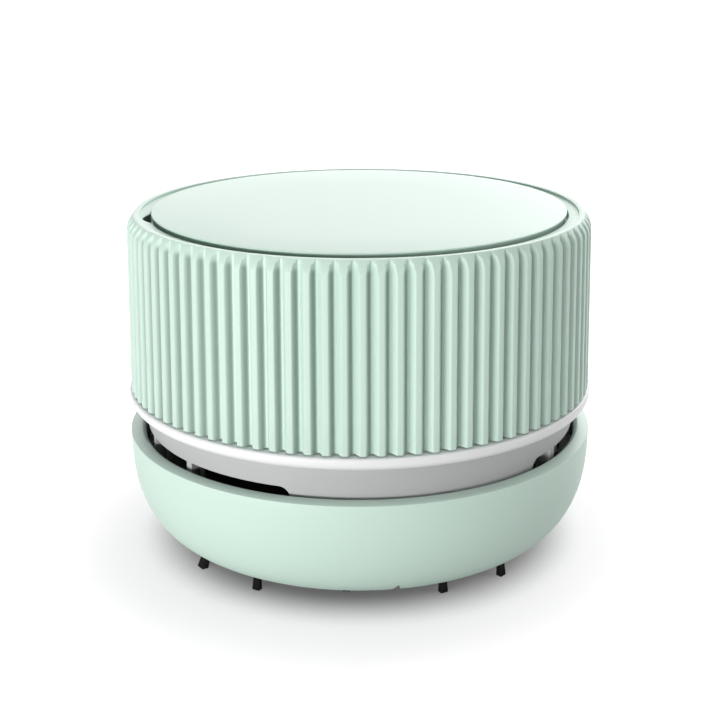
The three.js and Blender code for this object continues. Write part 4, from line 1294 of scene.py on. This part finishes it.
@dataclass
class Shell:
    """The body moulding: flange, deck, vented throat, bearing ring, socket and bosses.

    A gap holds two radii and two heights, and the stop's gap its plan angles too. A post holds its radius
    and its heights. The foot of a tray post holds its radius and its heights.
    """

    flange: float = 42.3
    upper_edge: float = 0.5
    lower_edge: float = 1.2
    cove: float = 0.5
    deck_low: float = 27.6
    deck_top: float = 29.8
    wall_outer: float = 39.2
    wall_inner: float = 37.4
    wall_low: float = 14.3
    wall_edges: Pair = (0.2, 0.3)
    wall_steps: float = 1.5
    groove_low: float = 15.8
    groove_high: float = 17.4
    groove_depth: float = 1.1
    bearing_outer: float = 38.0
    bearing_inner: float = 36.9
    bearing_top: float = 36.3
    bearing_lip: float = 34.8
    lip_limit: float = 38.6
    nose_hole: float = 4.3
    window_low: float = 18.7
    window_top: float = 23.1
    windows: tuple[Pair, ...] = ((-104, -69), (-67, -48.5), (-46.5, -16.8), (48.2, 57.8), (59.4, 100),
                                 (150, 180), (182, 212))
    round_ends: tuple[float, ...] = (-104, -16.8, 48.2, 100, 150, 212)
    round_radius: float = 1.9
    sill: float = 0.06
    sharp_radius: float = 0.35
    window_depth: float = 6.0
    window_radius: float = 38.3
    sill_lap: float = 0.05
    sill_sink: float = 0.02
    sill_gap: float = 1.5
    fins: tuple[float, ...] = (-68, -47.5, 58.6, 181)
    fin_low: Pair = (-0.6, -39.05)
    fin_high: Pair = (0.6, -36.3)
    fin_lap: float = 0.3
    fin_soft: float = 0.12
    stop_gap: tuple[float, ...] = (36.0, 39.5, 29.8, 37.5, 160.0, 200.0)
    key_gap: tuple[float, ...] = (36.0, 40.5, 13.3, 15.2)
    key_half: float = 3.5
    socket_gap: float = 0.3
    socket_wall: float = 1.2
    socket_height: float = 5.0
    socket_edge: float = 0.3
    bore: float = 1.3
    intake_post: tuple[float, float, float] = (2.4, 18.7, 27.9)
    tray_post: Pair = (2.8, 40.15)
    tray_foot: tuple[float, float, float] = (3.2, 29.5, 30.4)

    def deck_profile(self) -> list[Pair]:
        """Works out the section of the deck, flange and bearing ring.

        Returns:
            Points of radius and height, from the nose hole out and back.
        """
        small, large = self.upper_edge, self.lower_edge
        upper = arc((self.flange - small, self.deck_top - small), (small, small), 0, 90, 6)
        lower = arc((self.flange - large, self.deck_low + large), (large, large), -90, 0, 10)
        return [
            (self.nose_hole, self.deck_low),
            *lower,
            *upper,
            (self.bearing_outer, self.deck_top),
            (self.bearing_outer, self.bearing_lip),
            (self.lip_limit, self.bearing_lip),
            (self.bearing_outer, self.bearing_top),
            (self.bearing_inner, self.bearing_top),
            (self.bearing_inner, self.deck_top),
            (self.nose_hole, self.deck_top),
        ]

    def wall_profile(self) -> list[Pair]:
        """Works out the section of the throat's wall, with its seal groove and the cove under the deck.

        Returns:
            Points of radius and height.
        """
        centre = (self.wall_outer + self.cove, self.deck_low - self.cove)
        cove = arc(centre, (self.cove, self.cove), 180, 90, 5)
        inner, outer = self.wall_edges
        return [
            (self.wall_inner, self.deck_low),
            (self.wall_inner, self.wall_low + inner),
            (self.wall_inner + inner, self.wall_low),
            (self.wall_outer - outer, self.wall_low),
            (self.wall_outer, self.wall_low + outer),
            (self.wall_outer, self.groove_low),
            (self.wall_outer - self.groove_depth, self.groove_low),
            (self.wall_outer - self.groove_depth, self.groove_high),
            (self.wall_outer, self.groove_high),
            *cove,
        ]

    def window(self, start: float, end: float) -> Form:
        """Builds the cutter of one vent window, with rounded ends.

        Args:
            start: The plan angle of its first end.
            end: The plan angle of its last end.

        Returns:
            The cutter.
        """
        height = self.window_top - self.window_low
        form = Form()
        bmesh.ops.create_cube(form.mesh, size=1.0)
        width = math.radians(end - start) * self.wall_outer
        bmesh.ops.scale(form.mesh, vec=(width, self.window_depth, height), verts=form.mesh.verts)
        for side, end_angle in ((-1, start), (1, end)):
            across = [edge for edge in form.mesh.edges
                      if abs(edge.verts[0].co.y - edge.verts[1].co.y) > 1
                      and abs(edge.verts[0].co.x - side * width / 2) < CLOSE]
            form.bevel(across, self.round_radius if end_angle in self.round_ends else self.sharp_radius, 6)
        cuts = max(2, round(width / self.wall_steps))
        for i in range(1, cuts):
            place = width * (i / cuts - 0.5)
            geometry = form.mesh.verts[:] + form.mesh.edges[:] + form.mesh.faces[:]
            bmesh.ops.bisect_plane(form.mesh, geom=geometry, plane_co=(place, 0, 0), plane_no=(1, 0, 0))
        middle = (start + end) / 2
        height_middle = (self.window_top + self.window_low) / 2

        def bend(point: Vector) -> Vector:
            """Wraps one vertex round the wall.

            Args:
                point: The vertex's place.

            Returns:
                Its new place.
            """
            degrees = middle + math.degrees(point.x / self.wall_outer)
            x, y = polar(self.window_radius - point.y, degrees)
            return Vector((x, y, point.z + height_middle))

        return form.reshape(bend)

    def socket(self) -> bpy.types.Object:
        """Builds the ring on the deck that holds the motor's foot.

        Returns:
            The ring.
        """
        low, high = self.deck_top - self.socket_edge, self.deck_top + self.socket_height
        outer = Form.prism(motor_outline(self.socket_gap + self.socket_wall), low, high)
        rim = [edge for edge in outer.mesh.edges if all(v.co.z > high - TOUCH for v in edge.verts)]
        outer.bevel(rim, self.socket_edge, 2)
        ring = outer.placed("motor_socket", WHITE_INNER)
        carve(ring, Form.prism(motor_outline(self.socket_gap), low - 1, high + 1).placed("socket_cutter"))
        return ring

    def build(self) -> None:
        """Builds the deck, the throat's wall with its fins, and what stands on the deck."""
        deck = Form.spun(self.deck_profile(), FACES).placed("deck_moulding", WHITE)
        carve(deck, Form.sector(*self.stop_gap).placed("gap_cutter"))
        seat(deck, Body.POWER, "white_plastic", "body_shell")
        # The throat's wall is white moulding, greyed by painted shade under the flange.
        wall = Form.spun(self.wall_profile(), FACES).placed("throat_wall", THROAT_PAINTED_SHADE)
        cutters = Form().joined(self.window(start, end) for start, end in self.windows)
        cutters.joined(Form.sector(*self.key_gap, angle - self.key_half, angle + self.key_half)
                       for angle in KEY_ANGLES)
        carve(wall, cutters.placed("window_cutter"))
        seat(wall, Body.POWER, "white_plastic", "vent_ring")
        seat(self.socket(), Body.POWER, "white_plastic")
        # Near-black sheets of painted shade lie on the window sills.
        sill = (self.wall_inner - self.sill_lap, self.wall_outer - self.sill_lap,
                self.window_low - self.sill_sink, self.window_low + self.sill)
        sills = Form().joined(Form.sector(*sill, start + self.sill_gap, end - self.sill_gap)
                              for start, end in self.windows)
        seat(sills.placed("vent_sills", VENT_PAINTED_SHADE), Body.POWER, "black_plastic")
        low = (*self.fin_low, self.window_low - self.fin_lap)
        high = (*self.fin_high, self.window_top + self.fin_lap)
        fins = Form().joined(Form.block(low, high, self.fin_soft).turned(angle) for angle in self.fins)
        seat(fins.placed("vent_fins", WHITE), Body.POWER, "white_plastic")
        radius, low, high = self.intake_post
        post = [(self.bore, low), (radius, low), (radius, high), (self.bore, high)]
        posts = Form().joined(Form.spun(post, 32).moved(*polar(INTAKE_CIRCLE, angle), 0)
                              for angle in KEY_ANGLES)
        radius, high = self.tray_post
        foot, low, shoulder = self.tray_foot
        post = [(self.bore, low), (foot, low), (radius, shoulder), (radius, high), (self.bore, high)]
        posts.joined(Form.spun(post, 32).moved(*polar(TRAY_CIRCLE, angle), 0) for angle in TRAY_ANGLES)
        seat(posts.placed("body_bosses", WHITE_INNER), Body.POWER, "white_plastic")


@dataclass
class Screws:
    """The pan-head screws, each with a cross recess and a ridged shank.

    A row holds a name, a body, plan places, the height of the seat, and the length, negative for head down.
    """

    head_radius: float = 1.9
    head_height: float = 1.0
    shank: float = 1.0
    core: float = 0.78
    pitch: float = 0.7
    point: float = 0.1
    lead: float = 0.5
    plain: float = 0.55
    bare: float = 1.2
    head_edge: float = 0.3
    slot_half: float = 0.2
    slot_reach: float = 1.05
    slot_deep: float = 0.6
    rows: tuple[tuple, ...] = (
        ("plate_screw", Body.BOWL, [polar(SCREW_CIRCLE, angle) for angle in SCREW_ANGLES], 3.6, -4.0),
        ("intake_screw", Body.POWER, [polar(INTAKE_CIRCLE, angle) for angle in KEY_ANGLES], 16.6, -6.0),
        ("tray_screw", Body.POWER, [polar(TRAY_CIRCLE, angle) for angle in TRAY_ANGLES], 42.25, 6.0),
        ("strap_screw", Body.POWER, [(0.0, -20.0), (0.0, 20.0)], 58.7, 6.0),
    )

    def screw(self, length: float) -> Form:
        """Builds one screw that stands on its tip, its head's underside at height zero.

        Args:
            length: Its shank's length.

        Returns:
            The screw.
        """
        profile = [(0.0, -length), (self.core / 2, -length + self.point)]
        ridges = int((length - self.bare) / self.pitch)
        for number in range(ridges):
            height = -length + self.lead + number * self.pitch
            profile += [(self.core, height), (self.shank, height + self.pitch / 2)]
        profile += [(self.core, -self.plain), (self.core, 0.0), (self.head_radius, 0.0)]
        edge = self.head_height * self.head_edge
        profile += arc((0.0, edge), (self.head_radius, self.head_height - edge), 8, 90, 8)
        return Form.spun(profile, 32, closed=False)

    def recess(self) -> Form:
        """Builds the cutter of the cross recess.

        Returns:
            The cutter.
        """
        a, b = self.slot_half, self.slot_reach
        cross = [(b, a), (a, a), (a, b), (-a, b), (-a, a), (-b, a), (-b, -a), (-a, -a), (-a, -b), (a, -b),
                 (a, -a), (b, -a)]
        return Form.prism(cross, self.head_height - self.slot_deep, self.head_height + 1)

    def place(self, node: str, body: Body, spot: Pair, seat_height: float, length: float) -> None:
        """Puts one screw in its place.

        Args:
            node: The CAD screw that it stands for.
            body: The body that carries it.
            spot: Its plan place.
            seat_height: The height of its head's underside.
            length: Its shank's length, negative where the head points down.
        """
        forms = [self.screw(abs(length)), self.recess()]
        if length < 0:
            forms = [form.turned(180, "X") for form in forms]
        screw, cutter = (form.moved(*spot, seat_height) for form in forms)
        piece = screw.placed("fine_" + node, ZINC)
        carve(piece, cutter.placed("recess_cutter"))
        seat(piece, body, "screw_steel", node)

    def build(self) -> None:
        """Builds all the screws."""
        for name, body, spots, height, length in self.rows:
            for number, spot in enumerate(spots):
                self.place(f"{name}_{number + 1}", body, spot, height, length)


@dataclass
class Power:
    """The cells, their springs, the leads and the soft pads of the power unit and the filter."""

    cell_x: float = 16.35
    cell_z: float = 49.5
    cell_radius: float = 7.25
    cell_length: float = 50.5
    cell_shift: float = 1.75
    cell_edge: float = 0.45
    wrap_lap: float = 1.1
    wrap_thick: float = 0.12
    wrap_tuck: float = 0.05
    end_inset: float = 0.02
    nub_radius: float = 2.75
    nub_height: float = 1.0
    nub_edge: float = 0.3
    nub_foot: float = 0.4
    groove: Pair = (4.2, 4.0)
    spring_wire: float = 0.3
    spring_curls: int = 3
    spring_steps: int = 28
    spring_sides: int = 10
    spring_wide: float = 4.4
    spring_narrow: float = 2.6
    spring_length: float = 3.2
    spring_y: float = 26.99
    lead_radius: float = 0.6
    lead_steps: int = 14
    lead_sides: int = 14
    landing: float = 31.3
    landing_circle: float = 31.0
    landing_angles: Pair = (197.0, 163.0)
    tab_y: float = 27.5
    tab_z: float = 38.65
    stub: float = 3.0
    white_bend: tuple[float, ...] = (6.0, 21.0, 37.0)
    black_bends: tuple[tuple[float, ...], ...] = ((10.0, 21.0, 33.6), (-1.0, 17.5, 33.6))
    rise_x: float = 4.6
    rise: tuple[Pair, ...] = ((13.0, 40.45), (13.0, 50.1), (10.2, 56.1), (5.3, 56.1), (3.8, 56.1))
    pad_size: Pair = (2.6, 7.0)
    pad_low: float = 55.4
    pad_top: float = 56.9
    pad_soft: float = 0.3
    pad_pinch: float = 0.05
    pad_hold: float = 0.98
    felt_radius: float = 17.7
    felt_low: float = 14.3
    felt_top: float = 15.3
    felt_relief: float = 0.08
    felt_waves: float = 2.2
    felt_rings: tuple[int, int] = (40, 37)
    felt_rim: tuple[float, float, float] = (0.6, 0.25, 0.3)

    def lay(self, form: Form, side: int) -> Form:
        """Lays an upright form along Y beside the motor, with its top to the back on the left."""
        return form.turned(90 * side, "X").moved(self.cell_x * side, self.cell_shift * -side, self.cell_z)

    def cell(self, name: str, side: int) -> None:
        """Builds one cell: a plain wrap that laps over both ends, the steel ends and the nub.

        Args:
            name: The CAD cell that it stands for.
            side: -1 for the left cell, 1 for the right one.
        """
        half, top = self.cell_length / 2, self.cell_length / 2 - self.nub_height
        edge, thick = self.cell_edge, self.wrap_thick
        round_at = self.cell_radius - edge
        inner = self.cell_radius - self.wrap_lap
        wrap = [(inner, -half + thick), (inner, -half),
                *arc((round_at, -half + edge), (edge, edge), -90, 0, 6),
                *arc((round_at, top - edge), (edge, edge), 0, 90, 6), (inner, top), (inner, top - thick)]
        nub, small = self.nub_radius, self.nub_edge
        lap = inner + self.wrap_tuck
        ends = [(0.0, -half + self.end_inset), (lap, -half + thick), (lap, top - thick),
                (self.groove[0], top - thick), (self.groove[1], top - small),
                (nub + self.nub_foot, top - small), (nub, top),
                *arc((nub - small, half - small), (small, small), 0, 90, 4), (0.0, half)]
        shell = self.lay(Form.spun(wrap, 72), side).placed(f"{name}_wrap", CELL)
        seat(shell, Body.POWER, "cell_wrap", name)
        steel = self.lay(Form.spun(ends, 72, closed=False), side).placed(f"{name}_ends", CELL_END)
        seat(steel, Body.POWER, "plated_steel")

    def spring(self, name: str, side: int) -> None:
        """Builds one conical spring that widens towards its contact.

        Args:
            name: The CAD spring that it stands for.
            side: 1 for the one behind the right cell, -1 for the one before the left cell.
        """
        steps = self.spring_curls * self.spring_steps
        route = []
        for i in range(steps + 1):
            share = i / steps
            radius = self.spring_wide + (self.spring_narrow - self.spring_wide) * share
            height = self.spring_wire + (self.spring_length - self.spring_wire * 2) * share
            route.append(Vector((*polar(radius, 90 + 360 * self.spring_curls * share), height)))
        form = Form.tube(route, self.spring_wire, self.spring_sides).turned(90 * side, "X")
        form.moved(self.cell_x * side, self.spring_y * side, self.cell_z)
        seat(form.placed(f"{name}_coil", NICKEL), Body.POWER, "plated_steel", name)

    def lead(self, name: str, finish: Finish, knots: Sequence[Place]) -> None:
        """Builds one insulated lead.

        Args:
            name: The CAD lead that it stands for, and its material slot.
            finish: Its insulation.
            knots: The points that it passes.
        """
        route = spline([Vector(knot) for knot in knots], self.lead_steps)
        wire = Form.tube(route, self.lead_radius, self.lead_sides)
        seat(wire.placed(f"{name}_wire", finish), Body.POWER, name, name)

    def leads(self) -> None:
        """Builds the three leads."""
        left, right = (polar(self.landing_circle, angle) for angle in self.landing_angles)
        x, y, low = self.cell_x, self.tab_y, self.tab_z
        above = self.landing + self.stub
        self.lead("lead_red", RED, [
            (-x, y, low), (-x, y, low - self.stub), (*left, above), (*left, self.landing)])
        self.lead("lead_white", PALE, [
            (*right, self.landing), (*right, above), self.white_bend,
            *((self.rise_x, *place) for place in self.rise)])
        self.lead("lead_black", DARK, [
            (x, y, low), (x, y, low - self.stub), *self.black_bends,
            *((-self.rise_x, *place) for place in self.rise)])

    def pad(self) -> None:
        """Builds the foam pad between the motor and the strap, drawn in at its sides."""
        x, y = self.pad_size
        form = Form.block((-x, -y, self.pad_low), (x, y, self.pad_top), self.pad_soft)
        bmesh.ops.subdivide_edges(form.mesh, edges=form.mesh.edges[:], cuts=3, use_grid_fill=True)
        middle, half = (self.pad_top + self.pad_low) / 2, (self.pad_top - self.pad_low) / 2

        def press(point: Vector) -> Vector:
            """Draws one vertex in at the ends of the pad's height.

            Args:
                point: The vertex's place.

            Returns:
                Its new place.
            """
            share = 1 - self.pad_pinch * (abs(point.z - middle) / half) ** 2
            along = self.pad_hold + (1 - self.pad_hold) * share
            return Vector((point.x * share, point.y * along, point.z))

        pad = form.reshape(press).placed("foam_pad", FOAM)
        seat(pad, Body.POWER, "foam", "motor_pad")

    def felt(self) -> None:
        """Builds the filter's felt disc, embossed in rings and thinner at its welded edge."""
        low, high, radius = self.felt_low, self.felt_top, self.felt_radius
        parts, count = self.felt_rings
        rings = [radius * i / parts for i in range(count)]
        waves = [(r, self.felt_relief * (1 - math.cos(r * self.felt_waves))) for r in rings]
        under = [(r, low + wave) for r, wave in waves]
        over = [(r, high - wave) for r, wave in reversed(waves)]
        run, inner, outer = self.felt_rim
        edge = [(radius - run, low + inner), (radius, low + outer), (radius, high - outer),
                (radius - run, high - inner)]
        disc = Form.spun([*under, *edge, *over], 144, closed=False).placed("felt_disc", CLOTH)
        seat(disc, Body.FILTER, "filter_cloth", "filter_cloth")

    def build(self) -> None:
        """Builds the cells, springs, leads and soft pieces."""
        self.cell("battery_left", -1)
        self.cell("battery_right", 1)
        self.spring("negative_spring", 1)
        self.spring("link_spring", -1)
        self.leads()
        self.pad()
        self.felt()


@dataclass
class Frame:
    """The CAD pieces that keep their own shape, and their finishes."""

    finishes: dict[str, Finish] = field(default_factory=lambda: {
        "switch_wiper": BRASS, "seal_ring": RUBBER, "intake_plate": GREY_INNER, "filter_frame": BLACK,
        "impeller": GREY_INNER, "motor_shaft": STEEL, "motor_can": STEEL, "motor_bush": BRONZE,
        "motor_end_cap": WHITE_INNER, "motor_terminal_left": BRASS, "motor_terminal_right": BRASS,
        "battery_tray": WHITE_INNER, "motor_strap": WHITE_INNER, "positive_tab": NICKEL,
        "negative_tab": NICKEL, "link_strip": NICKEL, "switch_board": BOARD,
    })

    def dress(self, nodes: dict[str, bpy.types.Object]) -> None:
        """Gives each kept CAD node its finish.

        Args:
            nodes: The CAD nodes by name.
        """
        for name, finish in self.finishes.items():
            materials = nodes[name].data.materials
            materials.clear()
            materials.append(finish.material())


@dataclass
class Studio:
    """Camera, lamps, floor and world."""

    focal: float = 68.24
    distance: float = 241.5
    height: float = 110.5
    pitch: float = 16.075
    roll: float = -0.213
    shift: Pair = (0.0008, -0.06)
    sensor: float = 36.0
    clip: Pair = (0.01, 20.0)
    aim: Place = (0.0, 0.0, 0.03)
    mirror_level: float = 0.6
    fill_level: float = 0.03
    floor_size: float = 3000.0
    floor_tone: float = 0.35
    # Glow steps by distance from the middle: low near the base, they paint the soft shadow round it.
    near_glow: tuple[float, ...] = (0.029, 0.043, 0.62)
    far_glow: tuple[float, ...] = (0.042, 0.09, 0.68)
    base_glow: float = 0.07
    lamps: tuple[tuple, ...] = (
        ("key_lamp", (-0.5, -0.5, 0.07), (0.6, 0.12), 2.9),
        ("front_lamp", (-0.3, -0.64, 0.07), (0.6, 0.12), 2.2),
        ("top_lamp", (0.0, 0.0, 0.8), (0.8, 0.8), 2.3),
        ("back_lamp", (0.0, 1.0, 0.45), (0.8, 0.8), 5.5),
        ("back_right_lamp", (0.55, 0.85, 0.5), (0.8, 0.8), 6.3),
        ("right_lamp", (0.68, -0.1, 0.2), (0.4, 0.4), 1.6),
    )

    def camera(self) -> None:
        """Sets the camera at the photograph's viewing angle."""
        data = bpy.data.cameras.new("camera")
        data.lens = self.focal
        data.sensor_width = self.sensor
        data.shift_x, data.shift_y = self.shift
        data.clip_start, data.clip_end = self.clip
        made = bpy.data.objects.new("camera", data)
        bpy.context.scene.collection.objects.link(made)
        turn = Matrix.Rotation(math.radians(90 - self.pitch), 4, "X")
        spin = Matrix.Rotation(math.radians(self.roll), 4, "Z")
        made.matrix_world = Matrix.Translation((0, -self.distance * MM, self.height * MM)) @ turn @ spin
        bpy.context.scene.camera = made

    def lamp(self, name: str, place: Place, size: Pair, power: float) -> None:
        """Hangs one soft lamp that faces the object.

        Args:
            name: The lamp's name.
            place: Where it hangs, in metres.
            size: Its width and height in metres.
            power: Its power in watts.
        """
        data = bpy.data.lights.new(name, "AREA")
        data.shape = "RECTANGLE"
        data.size, data.size_y = size
        data.energy = power
        made = bpy.data.objects.new(name, data)
        bpy.context.scene.collection.objects.link(made)
        made.location = place
        made.rotation_euler = (Vector(self.aim) - Vector(place)).to_track_quat("-Z", "Y").to_euler()

    def world(self) -> None:
        """Fills the world: white to the camera, pale in reflections, and a little light on the object."""
        world = bpy.data.worlds.new("studio")
        bpy.context.scene.world = world
        painter = Painter(world)
        path = painter.node("LightPath")
        seen = painter.value(path, "Is Camera Ray")
        mirrored = painter.value(path, "Is Glossy Ray") + painter.value(path, "Is Transmission Ray")
        strength = seen + mirrored * self.mirror_level + (1 - seen) * self.fill_level
        shader = painter.node("Background", inputs={"Color": (1, 1, 1, 1), "Strength": strength})
        painter.output(shader.outputs[0], "OutputWorld")

    def floor(self) -> None:
        """Lays a pale floor: it keeps the real shadow, its glow to the camera is weak near the object and
        rises with distance, a painted shadow round the base, so it is white further away, and it is clear
        from beneath.
        """
        form = Form()
        bmesh.ops.create_grid(form.mesh, x_segments=1, y_segments=1, size=self.floor_size)
        floor = form.placed("floor")
        material = bpy.data.materials.new("floor_white")
        painter = Painter(material)
        path = painter.node("LightPath")
        place = painter.node("TexCoord").outputs["Object"]
        away = painter.value(painter.node("VectorMath", {"operation": "LENGTH"}, {0: place}), "Value")
        # Painted shadow: the glow to the camera is low round the base and rises with distance.
        glows = (self.near_glow, self.far_glow)
        near, far = (painter.step(away, low, high) * gain for low, high, gain in glows)
        seen = painter.value(path, "Is Camera Ray") + painter.value(path, "Is Glossy Ray")
        lit = painter.node("BsdfDiffuse", inputs={"Color": (*[self.floor_tone] * 3, 1)})
        strength = (near + self.base_glow + far) * seen
        glow = painter.node("Emission", inputs={"Color": (1, 1, 1, 1), "Strength": strength})
        both = painter.node("AddShader", inputs={0: lit.outputs[0], 1: glow.outputs[0]})
        beneath = painter.value(painter.node("NewGeometry"), "Backfacing")
        clear = painter.node("BsdfTransparent")
        shown = painter.node("MixShader", inputs={0: beneath, 1: both.outputs[0], 2: clear.outputs[0]})
        painter.output(shown.outputs[0])
        floor.data.materials.append(material)
        floor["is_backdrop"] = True

    def build(self) -> None:
        """Builds the studio."""
        self.camera()
        self.world()
        for lamp in self.lamps:
            self.lamp(*lamp)
        self.floor()
        bpy.context.scene.view_settings.view_transform = "Standard"


def corners(bounds: tuple[Vector, Vector]) -> list[list[float]]:
    """Returns a pair of corners as plain lists."""
    return [list(corner) for corner in bounds]


def main() -> None:
    """Builds the studio and each sub-assembly."""
    logging.basicConfig(level=logging.INFO, format="%(asctime)s %(message)s")
    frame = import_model()
    cad = corners(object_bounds())
    Studio().build()
    Frame().dress(frame["nodes"])
    for part in (Drum(), Cover(), Bowl(), SuctionHead(), Shell(), Screws(), Power()):
        part.build()
    {"cad": cad, "visual": corners(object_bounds())}


if __name__ == "__main__":
    main()
